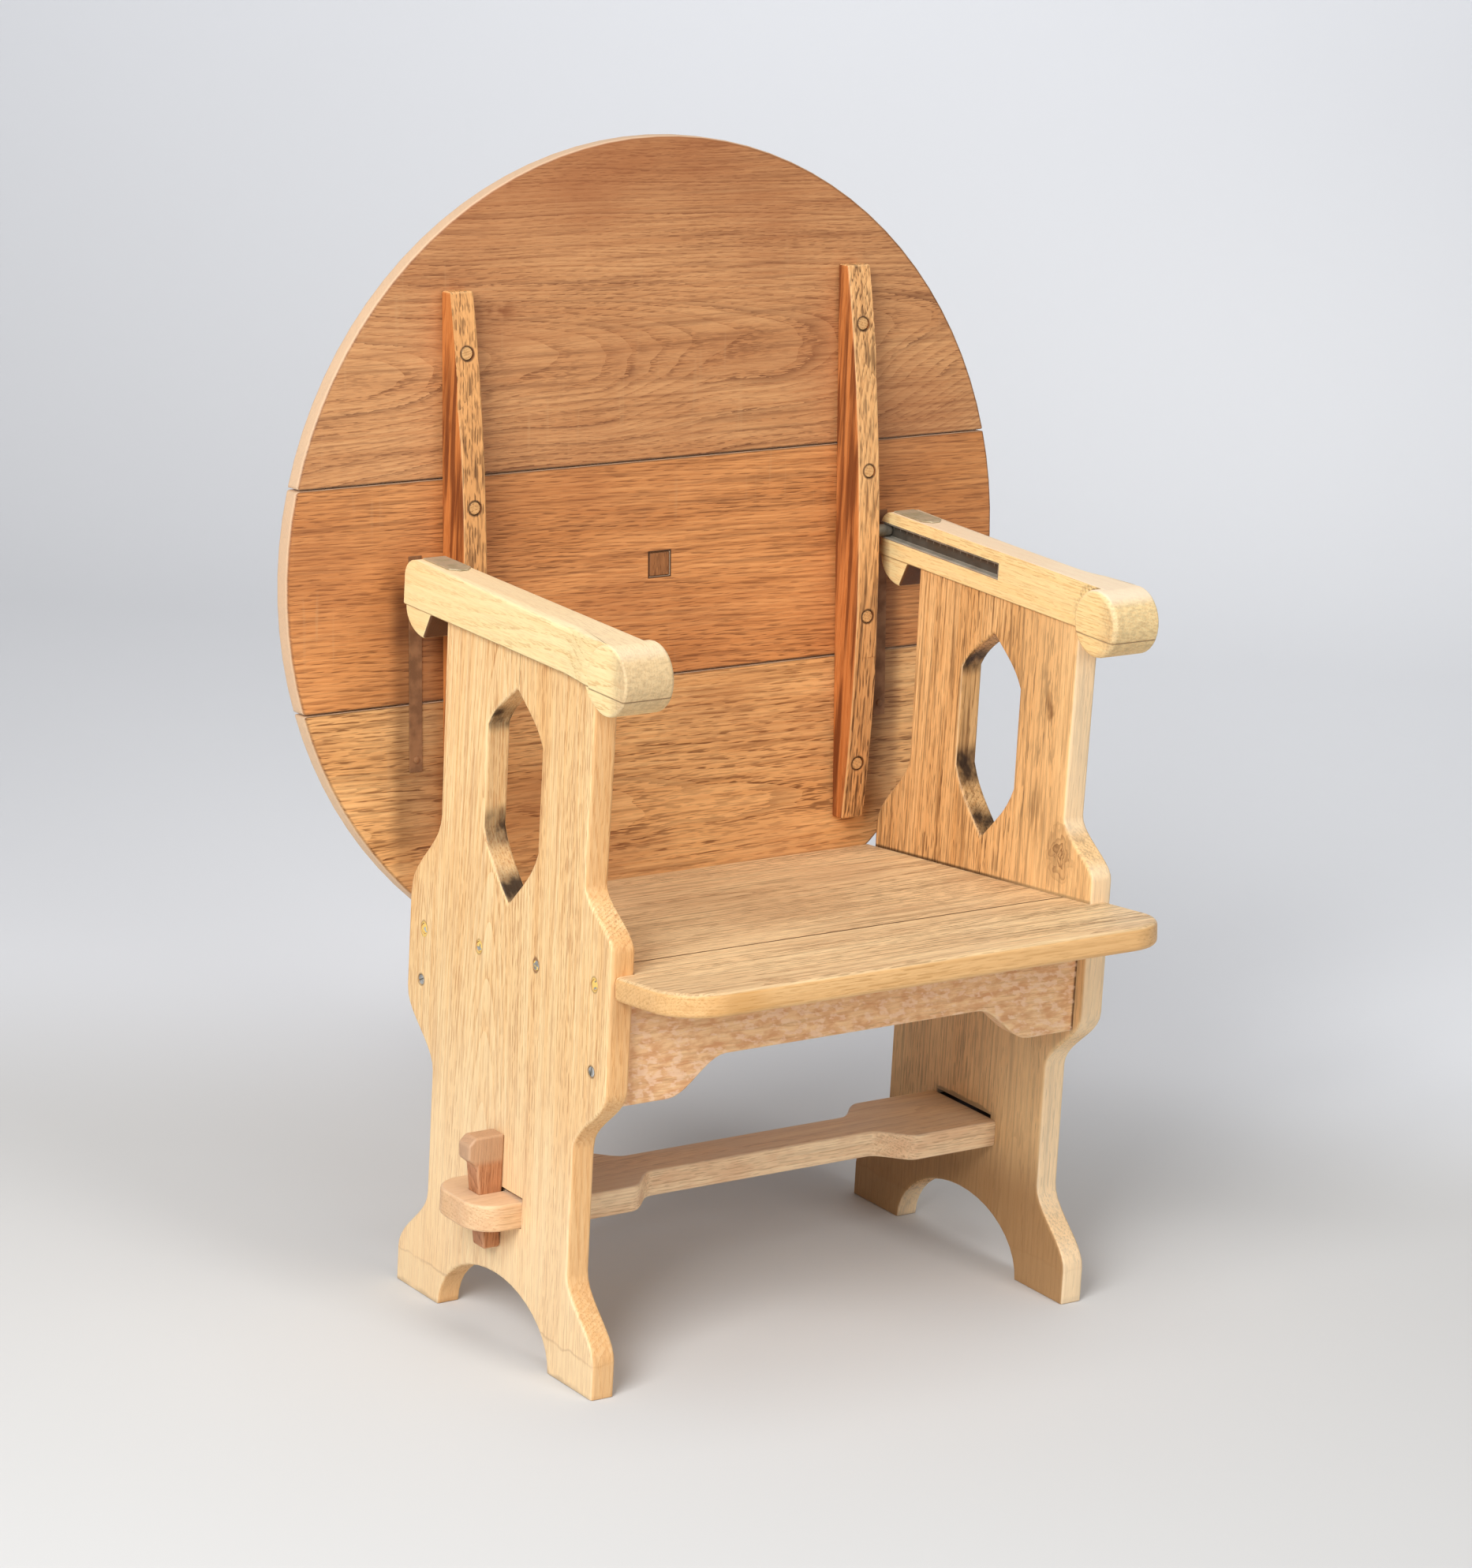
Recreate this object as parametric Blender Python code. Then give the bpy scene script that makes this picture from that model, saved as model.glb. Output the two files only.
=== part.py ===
"""A single-seat monk's bench in oak: a chair whose round back tips forward to make a table.

Metres, +Z up. The sitter faces -Y, and +X is on the right of someone looking at the front.
Inside the script y = 0 is the middle of the side panels; the root empty then brings the
middle of the whole object to the origin, with the feet on z = 0.
"""
import math

import bmesh
import bpy
from mathutils import Matrix, Vector

# Clearances between pieces, how far cuts run past the faces they open, and steps in curves
GLUE_GAP = 0.0003
RUN_GAP = 0.0005
CUT_OVERRUN = 0.020
ROUND_STEPS = 16
CURVE_STEPS = 10

# Side panels
INNER_WIDTH = 0.514
PANEL_THICKNESS = 0.025
PANEL_HEIGHT = 0.664
FOOT_HALF = 0.174
FOOT_HEIGHT = 0.034
WAIST_HALF = 0.124
WAIST_LOW = 0.106
WAIST_HIGH = 0.226
SWELL_HALF = 0.174
SWELL_LOW = 0.294
SWELL_HIGH_REAR = 0.392
SWELL_HIGH_FRONT = 0.426
NECK_HALF = 0.125
NECK_LOW = 0.477
PANEL_TOP_HALF = 0.128
FOOT_ARCH_HALF = 0.097
FOOT_ARCH_RISE = 0.065

# Hand hole through each panel, pointed at both ends, cut a little behind the panel's middle
HOLE_BACK = 0.003
HOLE_HALF = 0.046
HOLE_LOW = 0.425
HOLE_SPRING_LOW = 0.485
HOLE_SPRING_HIGH = 0.583
HOLE_HIGH = 0.627
HOLE_SLOPE_SHARE = 0.8
HOLE_SHOULDER_POWER = 6

# Arms, with a scroll at the front and a rounded rear end just behind the pivot
ARM_THICKNESS = 0.045
ARM_INNER_OVERHANG = 0.002
ARM_OUTER_OVERHANG = 0.007
FLARE_OUTER = 0.005
FLARE_LENGTH = 0.050
SCROLL_RADIUS = 0.032
SCROLL_REACH = 0.197
SCROLL_INNER_PROUD = 0.011
SCROLL_OUTER_PROUD = 0.003
SCROLL_LAP = 0.010
ARM_PAST_PIN = 0.006
NOSE_RADIUS = 0.019
NOSE_FOOT_RADIUS = 0.002
REAR_BLOCK_LENGTH = 0.047
REAR_BLOCK_FOOT = 0.034
REAR_BLOCK_DROP = 0.026
REAR_BLOCK_SETBACK = 0.001
REAR_BLOCK_INSET = 0.001
ARM_DOWEL_DIAMETER = 0.008
ARM_DOWEL_INSET = 0.0085
ARM_DOWEL_REACH = 0.020
ARM_DOWEL_SPACING = 0.170

# Seat of two boards, raked down towards the back
SEAT_HEIGHT = 0.405
SEAT_RAKE = math.radians(6.0)
SEAT_THICKNESS = 0.023
SEAT_OVERHANG = 0.109
SEAT_CORNER_RADIUS = 0.052
SEAT_EAR_INSET = 0.004
SEAT_JOINT = 0.042
SEAT_REAR_PROJECTION = 0.011
SEAT_SCREW_FIRST = 0.028
SEAT_SCREW_SPACING = 0.0985
SEAT_SCREW_COUNT = 4

# Rails under the seat
RAIL_THICKNESS = 0.025
RAIL_SETBACK = 0.013
RAIL_DROP = 0.130
APRON_ARCH_RISE = 0.035
APRON_ARCH_HALF = 0.143
APRON_OGEE = 0.062
RAIL_SCREW_RISE = 0.034

# Screws through the panels, with their heads under round fillings
SCREW_HEAD_DIAMETER = 0.010
SCREW_HEAD_DEPTH = 0.005
SCREW_SHANK_DIAMETER = 0.005
SCREW_REACH = 0.020

# Stretcher with wedged through tenons
STRETCHER_LOW = 0.1235
STRETCHER_THICKNESS = 0.026
STRETCHER_HALF = 0.0245
STRETCHER_END_HALF = 0.053
STRETCHER_END_LENGTH = 0.092
STRETCHER_OGEE = 0.040
TENON_HALF = 0.044
MORTISE_SLACK = 0.004
TENON_REACH = 0.048
TENON_CORNER_RADIUS = 0.030
WEDGE_THICKNESS = 0.020
WEDGE_TOP_WIDTH = 0.029
WEDGE_TIP_WIDTH = 0.018
WEDGE_BELOW_TENON = 0.029
WEDGE_ABOVE_TENON = 0.056
WEDGE_NIB_WIDTH = 0.009
WEDGE_NIB_HEIGHT = 0.028
WEDGE_NIB_CHAMFER = 0.007
WEDGE_ENTRY = 0.004

# Round top of three boards on two bow-fronted battens, whose feet stop above the seat
TOP_RADIUS = 0.405
TOP_THICKNESS = 0.020
TOP_LEAN = math.radians(4.5)
TOP_STEPS = 96
TOP_CENTRE_DROP = 0.0095
UPPER_JOINT = 0.096
LOWER_JOINT = -0.115
JOINT_GAP = 0.0015
REST_GAP = 0.0005
PLUG_SIZE = 0.023
PLUG_X = 0.006
PLUG_Z = -0.006
BATTEN_WIDTH = 0.026
BATTEN_HALF_LENGTH = 0.272
BATTEN_SEAT_CLEARANCE = 0.0332
BATTEN_MIDDLE = 0.040
BATTEN_END = 0.016
BATTEN_TO_ARM = 0.0165
DOWEL_DIAMETER = 0.013
DOWEL_REACH = 0.012
DOWEL_INNER = 0.072
DOWEL_END_INSET = 0.057

# Pivot: studs, channels in the arms, plates on the arms and strips under the top
PIN_DROP = 0.020
SLIDE_TRAVEL = 0.180
STUD_DIAMETER = 0.012
COLLAR_DIAMETER = 0.020
COLLAR_THICKNESS = 0.004
CHANNEL_WALL = 0.0015
CHANNEL_DEPTH = 0.009
BATTEN_SLOT_DEPTH = 0.0055
PLATE_THICKNESS = 0.0012
PLATE_LENGTH = 0.054
PLATE_WIDTH = 0.024
PLATE_INSET = 0.002
PLATE_SETBACK = 0.012
PLATE_CLIP = 0.008
STRIP_THICKNESS = 0.0010
STRIP_WIDTH = 0.014
STRIP_ABOVE_PIN = 0.016
STRIP_PAST_TRAVEL = 0.010
STRIP_INSET = 0.006

# Places worked out from the sizes above
PANEL_INNER = INNER_WIDTH / 2
PANEL_OUTER = PANEL_INNER + PANEL_THICKNESS
ARM_LOW = PANEL_HEIGHT + GLUE_GAP
ARM_TOP = ARM_LOW + ARM_THICKNESS
ARM_INNER = PANEL_INNER - ARM_INNER_OVERHANG
ARM_OUTER = PANEL_OUTER + ARM_OUTER_OVERHANG
SCROLL_OUTER = ARM_OUTER + FLARE_OUTER
SCROLL_Y = SCROLL_RADIUS - SCROLL_REACH
SCROLL_Z = ARM_TOP - SCROLL_RADIUS
SEAT_LOW = -SEAT_THICKNESS
SEAT_REAR = (SWELL_HALF + SEAT_REAR_PROJECTION + SWELL_HALF) / math.cos(SEAT_RAKE)
RAIL_LOW = SEAT_HEIGHT - RAIL_DROP
RAIL_SCREW_HEIGHT = RAIL_LOW + RAIL_SCREW_RISE
RAIL_FACE = SWELL_HALF - RAIL_SETBACK
RAIL_MIDDLE = RAIL_FACE - RAIL_THICKNESS / 2
STRETCHER_TOP = STRETCHER_LOW + STRETCHER_THICKNESS
PIN_Z = ARM_TOP - PIN_DROP
UNDERSIDE = PIN_DROP + PLATE_THICKNESS + STRIP_THICKNESS + RUN_GAP + 2 * GLUE_GAP
BATTEN_BACK = UNDERSIDE - GLUE_GAP
BATTEN_OUTER = ARM_INNER - BATTEN_TO_ARM
BATTEN_INNER = BATTEN_OUTER - BATTEN_WIDTH
SLOT_HALF = STUD_DIAMETER / 2 + RUN_GAP
CHANNEL_HALF = SLOT_HALF + CHANNEL_WALL
SIDES = (("left", -1), ("right", 1))

# Colour, roughness and metallic value of each finish
PALE_OAK = ((0.66, 0.44, 0.21), 0.55, 0.0)
BROWN_OAK = ((0.38, 0.19, 0.075), 0.50, 0.0)
SEAT_OAK = ((0.56, 0.37, 0.18), 0.50, 0.0)
ROSY_OAK = ((0.45, 0.25, 0.12), 0.55, 0.0)
FILLER = ((0.72, 0.52, 0.22), 0.60, 0.0)
STEEL = ((0.22, 0.21, 0.19), 0.45, 1.0)


def seat_point(depth, height):
    """The y and z of a point given along the raked seat from the panels' front edge."""
    y = -SWELL_HALF + depth * math.cos(SEAT_RAKE) + height * math.sin(SEAT_RAKE)
    z = SEAT_HEIGHT - depth * math.sin(SEAT_RAKE) + height * math.cos(SEAT_RAKE)
    return y, z


def pin_y():
    """The pin's y: the leaning top just clears the rear arris of the seat."""
    y, z = seat_point(SEAT_REAR, 0.0)
    reach = y * math.cos(TOP_LEAN) - z * math.sin(TOP_LEAN) + REST_GAP - UNDERSIDE
    return (reach + PIN_Z * math.sin(TOP_LEAN)) / math.cos(TOP_LEAN)


def batten_foot():
    """A batten's lower end, along the top from its centre: just above the seat's rear arris."""
    y, z = seat_point(SEAT_REAR, 0.0)
    seat = (y - PIN_Y) * math.sin(TOP_LEAN) + (z - PIN_Z) * math.cos(TOP_LEAN)
    return seat + BATTEN_SEAT_CLEARANCE + TOP_CENTRE_DROP


PIN_Y = pin_y()
ARM_REAR = PIN_Y + ARM_PAST_PIN
BATTEN_FOOT = batten_foot()
DOWEL_PLACES = (BATTEN_FOOT + DOWEL_END_INSET, -DOWEL_INNER, DOWEL_INNER,
                BATTEN_HALF_LENGTH - DOWEL_END_INSET)


def middle_y():
    """Halfway between the seat's front edge and the rearmost arris of the leaning top."""
    front = seat_point(-SEAT_OVERHANG, SEAT_LOW)[0]
    table_face = (UNDERSIDE + TOP_THICKNESS) * math.cos(TOP_LEAN)
    crown = (TOP_RADIUS - TOP_CENTRE_DROP) * math.sin(TOP_LEAN)
    return (front + PIN_Y + table_face + crown) / 2


def arc(centre, radius, start, end, steps):
    """Points on a circle from one angle to another, in degrees."""
    turn = (end - start) / steps
    angles = [math.radians(start + turn * i) for i in range(steps + 1)]
    return [(centre[0] + radius * math.cos(a), centre[1] + radius * math.sin(a)) for a in angles]


def ogee(start, end, steps=CURVE_STEPS):
    """Points of an S-curve; it leaves and arrives along the second coordinate."""
    points = []
    for i in range(steps + 1):
        share = i / steps
        swing = 0.5 - 0.5 * math.cos(math.pi * share)
        points.append((start[0] + (end[0] - start[0]) * swing, start[1] + (end[1] - start[1]) * share))
    return points


def mirrored(points):
    """The same outline on the other side of the first coordinate, in the opposite order."""
    return [(-a, b) for a, b in reversed(points)]


def loft(first, second):
    """A closed body between two rings of 3-D points that match one to one."""
    mesh = bmesh.new()
    ring_a = [mesh.verts.new(p) for p in first]
    ring_b = [mesh.verts.new(p) for p in second]
    mesh.faces.new(ring_a)
    mesh.faces.new(list(reversed(ring_b)))
    count = len(ring_a)
    for i in range(count):
        j = (i + 1) % count
        mesh.faces.new((ring_a[j], ring_a[i], ring_b[i], ring_b[j]))
    bmesh.ops.recalc_face_normals(mesh, faces=mesh.faces)
    return mesh


def prism_x(outline, low, high):
    """A body whose (y, z) outline runs from one x to another."""
    return loft([(low, a, b) for a, b in outline], [(high, a, b) for a, b in outline])


def prism_y(outline, low, high):
    """A body whose (x, z) outline runs from one y to another."""
    return loft([(a, low, b) for a, b in outline], [(a, high, b) for a, b in outline])


def prism_z(outline, low, high):
    """A body whose (x, y) outline runs from one z to another."""
    return loft([(a, b, low) for a, b in outline], [(a, b, high) for a, b in outline])


def box(x, y, z):
    """A box from three pairs of limits."""
    return prism_z([(x[0], y[0]), (x[1], y[0]), (x[1], y[1]), (x[0], y[1])], z[0], z[1])


def turned(stations):
    """A round body along +Z from (distance, radius) stations."""
    mesh = bmesh.new()
    rings = []
    for z, radius in stations:
        circle = bmesh.ops.create_circle(mesh, segments=ROUND_STEPS, radius=radius)
        bmesh.ops.translate(mesh, verts=circle["verts"], vec=(0, 0, z))
        rings.append(circle["verts"])
    mesh.faces.new(rings[0])
    mesh.faces.new(rings[-1])
    for lower, upper in zip(rings, rings[1:]):
        for i in range(ROUND_STEPS):
            j = (i + 1) % ROUND_STEPS
            mesh.faces.new((lower[i], lower[j], upper[j], upper[i]))
    bmesh.ops.recalc_face_normals(mesh, faces=mesh.faces)
    return mesh


def placed(mesh, direction, position):
    """Turn a body's +Z to a direction and carry its start to a position."""
    turn = Vector((0, 0, 1)).rotation_difference(Vector(direction)).to_matrix().to_4x4()
    bmesh.ops.transform(mesh, matrix=Matrix.Translation(position) @ turn, verts=mesh.verts)
    return mesh


def rod(radius, start, end):
    """A plain round bar between two points."""
    run = Vector(end) - Vector(start)
    return placed(turned([(0.0, radius), (run.length, radius)]), run, start)


def gathered(meshes):
    """Several separate bodies in one mesh."""
    whole = bmesh.new()
    for mesh in meshes:
        part = bpy.data.meshes.new("gathered")
        mesh.to_mesh(part)
        mesh.free()
        whole.from_mesh(part)
        bpy.data.meshes.remove(part)
    return whole


def new_object(name, mesh, parent):
    """An object with the given body in its parent's own frame."""
    data = bpy.data.meshes.new(name)
    mesh.to_mesh(data)
    mesh.free()
    item = bpy.data.objects.new(name, data)
    bpy.context.scene.collection.objects.link(item)
    item.parent = parent
    return item


def piece(name, mesh, finish, parent):
    """One sub-part with a material of its own."""
    item = new_object(name, mesh, parent)
    colour, roughness, metallic = finish
    material = bpy.data.materials.new(name)
    material.use_nodes = True
    shader = material.node_tree.nodes["Principled BSDF"]
    shader.inputs["Base Color"].default_value = (*colour, 1.0)
    shader.inputs["Roughness"].default_value = roughness
    shader.inputs["Metallic"].default_value = metallic
    item.data.materials.append(material)
    return item


def numbered(name, meshes, finish, parent):
    """A row of like pieces, each an object of its own, counted from 1."""
    for number, mesh in enumerate(meshes, 1):
        piece(name + "_" + str(number), mesh, finish, parent)


def combine(item, meshes, operation):
    """Cut a set of separate bodies out of a piece, or join them to it."""
    other = new_object(item.name + "_" + operation.lower(), gathered(meshes), item.parent)
    other.hide_render = True
    other.display_type = "WIRE"
    step = item.modifiers.new(operation.lower(), "BOOLEAN")
    step.operation = operation
    step.solver = "EXACT"
    step.object = other


def carve(item, meshes):
    """Cut a set of separate bodies out of a piece."""
    combine(item, meshes, "DIFFERENCE")


def empty(name, parent, position, turn_x=0.0):
    """A plain frame that pieces hang on."""
    frame = bpy.data.objects.new(name, None)
    bpy.context.scene.collection.objects.link(frame)
    frame.parent = parent
    frame.location = position
    frame.rotation_euler = (turn_x, 0.0, 0.0)
    return frame


def panel_edge(swell_high):
    """One upright edge of a panel, foot to arm, as (half depth, height)."""
    edge = [(FOOT_HALF, 0.0)]
    edge += ogee((FOOT_HALF, FOOT_HEIGHT), (WAIST_HALF, WAIST_LOW))
    edge += ogee((WAIST_HALF, WAIST_HIGH), (SWELL_HALF, SWELL_LOW))
    edge += ogee((SWELL_HALF, swell_high), (NECK_HALF, NECK_LOW))
    edge.append((PANEL_TOP_HALF, PANEL_HEIGHT))
    return edge


def panel_outline():
    """The whole panel in (y, z): rear edge up, front edge down, then the arch between the feet."""
    arch = arc((0.0, 0.0), 1.0, 180.0, 0.0, 2 * CURVE_STEPS)
    foot_arch = [(a * FOOT_ARCH_HALF, max(b, 0.0) * FOOT_ARCH_RISE) for a, b in arch]
    return panel_edge(SWELL_HIGH_REAR) + mirrored(panel_edge(SWELL_HIGH_FRONT)) + foot_arch


def hole_end(spring, apex):
    """One pointed end of the hand hole, from its +y side over the apex to its -y side."""
    half = []
    for i in range(CURVE_STEPS):
        share = 1.0 - i / CURVE_STEPS
        drop = HOLE_SLOPE_SHARE * share + (1 - HOLE_SLOPE_SHARE) * share ** HOLE_SHOULDER_POWER
        half.append((HOLE_HALF * share, apex + (spring - apex) * drop))
    return half + [(0.0, apex)] + mirrored(half)


def hole_outline():
    """The hand hole in (y, z)."""
    upper = hole_end(HOLE_SPRING_HIGH, HOLE_HIGH)
    lower = hole_end(HOLE_SPRING_LOW, HOLE_LOW)
    return [(y + HOLE_BACK, z) for y, z in upper + list(reversed(lower))]


def across(side, inner, outer):
    """A pair of x limits on one side, low first."""
    return tuple(sorted((side * inner, side * outer)))


def screw_depths():
    """How far behind the panels' front edge each seat screw is, along the seat."""
    return [SEAT_SCREW_FIRST + SEAT_SCREW_SPACING * i for i in range(SEAT_SCREW_COUNT)]


def screw_places():
    """The (y, z) of each seat screw and of each rail screw on a panel."""
    seat = [seat_point(depth, SEAT_LOW / 2) for depth in screw_depths()]
    rails = [(-RAIL_MIDDLE, RAIL_SCREW_HEIGHT), (RAIL_MIDDLE, RAIL_SCREW_HEIGHT)]
    return seat, rails


def screw(side, place, gap):
    """A screw driven in from a panel's outer face; with a gap it is the hole for one."""
    head = SCREW_HEAD_DIAMETER / 2 + gap
    shank = SCREW_SHANK_DIAMETER / 2 + gap
    depth = SCREW_HEAD_DEPTH + gap
    stations = [(-gap, head), (depth, head), (depth, shank), (PANEL_THICKNESS + SCREW_REACH + gap, shank)]
    return placed(turned(stations), (-side, 0, 0), (side * PANEL_OUTER, *place))


def arm_dowels(side, gap):
    """The two upright pegs between a panel's top edge and its arm."""
    x = side * (PANEL_OUTER - ARM_DOWEL_INSET)
    reach = ARM_DOWEL_REACH + gap
    pegs = []
    for y in (-ARM_DOWEL_SPACING / 2, ARM_DOWEL_SPACING / 2):
        ends = ((x, y, PANEL_HEIGHT - reach), (x, y, ARM_LOW + reach))
        pegs.append(rod(ARM_DOWEL_DIAMETER / 2 + gap, *ends))
    return pegs


def make_panel(word, side, root):
    """A shaped plank with a hand hole, a mortise and screw holes."""
    plank = prism_x(panel_outline(), *across(side, PANEL_INNER, PANEL_OUTER))
    panel = piece("side_panel_" + word, plank, PALE_OAK, root)
    past = across(side, PANEL_INNER - CUT_OVERRUN, PANEL_OUTER + CUT_OVERRUN)
    mortise_y = (-TENON_HALF - GLUE_GAP, TENON_HALF + GLUE_GAP)
    mortise_z = (STRETCHER_LOW - GLUE_GAP, STRETCHER_TOP + MORTISE_SLACK)
    seat, rails = screw_places()
    cuts = [prism_x(hole_outline(), *past), box(past, mortise_y, mortise_z)]
    cuts += [screw(side, place, GLUE_GAP) for place in seat + rails]
    cuts += arm_dowels(side, GLUE_GAP)
    carve(panel, cuts)
    numbered("seat_screw_" + word, [screw(side, place, 0.0) for place in seat], FILLER, root)
    numbered("rail_screw_" + word, [screw(side, place, 0.0) for place in rails], STEEL, root)
    numbered("arm_dowel_" + word, arm_dowels(side, 0.0), PALE_OAK, root)


def flare(y):
    """How much of the scroll's extra width an arm has at a given y, nought to one."""
    share = (SCROLL_Y + SCROLL_RADIUS + FLARE_LENGTH - y) / FLARE_LENGTH
    share = min(max(share, 0.0), 1.0)
    return share * share * (3.0 - 2.0 * share)


def flared(side, outline):
    """A body between an arm's two sides; the outer one swells towards the scroll."""
    inner = [(side * ARM_INNER, y, z) for y, z in outline]
    outer = [(side * (ARM_OUTER + FLARE_OUTER * flare(y)), y, z) for y, z in outline]
    body = loft(inner, outer)
    bmesh.ops.triangulate(body, faces=body.faces)
    return body


def scroll_cut_angle():
    """Degrees below level where the glue line under the arm crosses the scroll's circle."""
    return math.degrees(math.asin((SCROLL_Z - ARM_LOW) / SCROLL_RADIUS))


def run(start, end, steps):
    """Evenly spaced points of a level line, without its two ends."""
    return [(start[0] + (end[0] - start[0]) * i / steps, start[1]) for i in range(1, steps)]


def arm_outline():
    """An arm from the side in (y, z): nose, underside, scroll and top."""
    dip = scroll_cut_angle()
    nose_foot = (ARM_REAR - NOSE_FOOT_RADIUS, ARM_LOW + NOSE_FOOT_RADIUS)
    outline = arc((ARM_REAR - NOSE_RADIUS, ARM_TOP - NOSE_RADIUS), NOSE_RADIUS, 90.0, 0.0, CURVE_STEPS)
    outline += arc(nose_foot, NOSE_FOOT_RADIUS, 0.0, -90.0, CURVE_STEPS // 2)
    scroll = arc((SCROLL_Y, SCROLL_Z), SCROLL_RADIUS, 180.0 + dip, 90.0, CURVE_STEPS)
    flare_start = SCROLL_Y + SCROLL_RADIUS + FLARE_LENGTH
    flare_end = SCROLL_Y + SCROLL_RADIUS
    under = [(flare_start, ARM_LOW)] + run((flare_start, ARM_LOW), (flare_end, ARM_LOW), CURVE_STEPS)
    over = run((flare_end, ARM_TOP), (flare_start, ARM_TOP), CURVE_STEPS) + [(flare_start, ARM_TOP)]
    return outline + under + scroll + over


def scroll_ends(side, height, start, end):
    """The scroll's two round ends, which stand proud of the arm's sides, between two angles."""
    rim = arc((SCROLL_Y, height), SCROLL_RADIUS, start, end, 2 * CURVE_STEPS)
    inner = across(side, ARM_INNER - SCROLL_INNER_PROUD, ARM_INNER + SCROLL_LAP)
    outer = across(side, SCROLL_OUTER - SCROLL_LAP, SCROLL_OUTER + SCROLL_OUTER_PROUD)
    return [prism_x(rim, *inner), prism_x(rim, *outer)]


def scroll_block(word, side, root):
    """The glued-on lower part of the front scroll, drawn out behind to meet the panel's edge."""
    dip = scroll_cut_angle()
    low = SCROLL_Z - GLUE_GAP
    front = arc((SCROLL_Y, low), SCROLL_RADIUS, 180.0 + dip, 270.0, CURVE_STEPS)
    chord_half = SCROLL_RADIUS * math.cos(math.radians(dip))
    stretch = (-PANEL_TOP_HALF - GLUE_GAP - SCROLL_Y) / chord_half
    rear = [(SCROLL_Y + (SCROLL_Y - y) * stretch, z) for y, z in reversed(front[:-1])]
    block = piece("arm_front_scroll_" + word, flared(side, front + rear), PALE_OAK, root)
    combine(block, scroll_ends(side, low, 180.0 + dip, 360.0 - dip), "UNION")


def rear_block(word, side, root):
    """The small block glued under an arm's rear end: rounded behind, steep in front."""
    top = ARM_LOW - GLUE_GAP
    rear = ARM_REAR - REAR_BLOCK_SETBACK
    bow = arc((0.0, 0.0), 1.0, 0.0, -90.0, CURVE_STEPS)
    outline = [(rear - REAR_BLOCK_FOOT * (1 - a), top + REAR_BLOCK_DROP * b) for a, b in bow]
    outline.append((rear - REAR_BLOCK_LENGTH, top))
    limits = across(side, ARM_INNER + REAR_BLOCK_INSET, ARM_OUTER - REAR_BLOCK_INSET)
    piece("arm_rear_block_" + word, prism_x(outline, *limits), PALE_OAK, root)


def make_arm(word, side, root):
    """An arm, its glued blocks and the steel that the top pivots on."""
    arm = piece("arm_" + word, flared(side, arm_outline()), PALE_OAK, root)
    dip = scroll_cut_angle()
    combine(arm, scroll_ends(side, SCROLL_Z, 180.0 + dip, -dip), "UNION")
    front = PIN_Y - SLIDE_TRAVEL - CHANNEL_HALF
    groove_x = across(side, ARM_INNER - CUT_OVERRUN, ARM_INNER + CHANNEL_DEPTH + GLUE_GAP)
    groove_y = (front - GLUE_GAP, ARM_REAR + CUT_OVERRUN)
    groove_z = (PIN_Z - CHANNEL_HALF - GLUE_GAP, PIN_Z + CHANNEL_HALF + GLUE_GAP)
    carve(arm, [box(groove_x, groove_y, groove_z)] + arm_dowels(side, GLUE_GAP))
    scroll_block(word, side, root)
    rear_block(word, side, root)
    channel_x = across(side, ARM_INNER, ARM_INNER + CHANNEL_DEPTH)
    channel_z = (PIN_Z - CHANNEL_HALF, PIN_Z + CHANNEL_HALF)
    channel = piece("arm_channel_" + word, box(channel_x, (front, ARM_REAR), channel_z), STEEL, root)
    slot_x = across(side, ARM_INNER - CUT_OVERRUN, ARM_INNER + CHANNEL_DEPTH - CHANNEL_WALL)
    slot_y = (front + CHANNEL_WALL, ARM_REAR + CUT_OVERRUN)
    carve(channel, [box(slot_x, slot_y, (PIN_Z - SLOT_HALF, PIN_Z + SLOT_HALF))])
    arm_plate(word, side, root)


def arm_plate(word, side, root):
    """A thin steel plate on the arm's rear top, its front corners clipped."""
    inner = ARM_INNER + PLATE_INSET
    outer = inner + PLATE_WIDTH
    rear = PIN_Y - PLATE_SETBACK
    front = rear - PLATE_LENGTH
    outline = [(inner, rear), (inner, front + PLATE_CLIP), (inner + PLATE_CLIP, front),
               (outer - PLATE_CLIP, front), (outer, front + PLATE_CLIP), (outer, rear)]
    low = ARM_TOP + GLUE_GAP
    plate = prism_z([(side * x, y) for x, y in outline], low, low + PLATE_THICKNESS)
    piece("arm_plate_" + word, plate, STEEL, root)


def seat_screw_holes(depths):
    """Holes in both ends of a seat board for the screws through the panels."""
    holes = []
    for depth in depths:
        for word, side in SIDES:
            start = (side * (PANEL_OUTER + GLUE_GAP), depth, SEAT_LOW / 2)
            end = (side * (PANEL_INNER - SCREW_REACH - GLUE_GAP), depth, SEAT_LOW / 2)
            holes.append(rod(SCREW_SHANK_DIAMETER / 2 + GLUE_GAP, start, end))
    return holes


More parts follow.
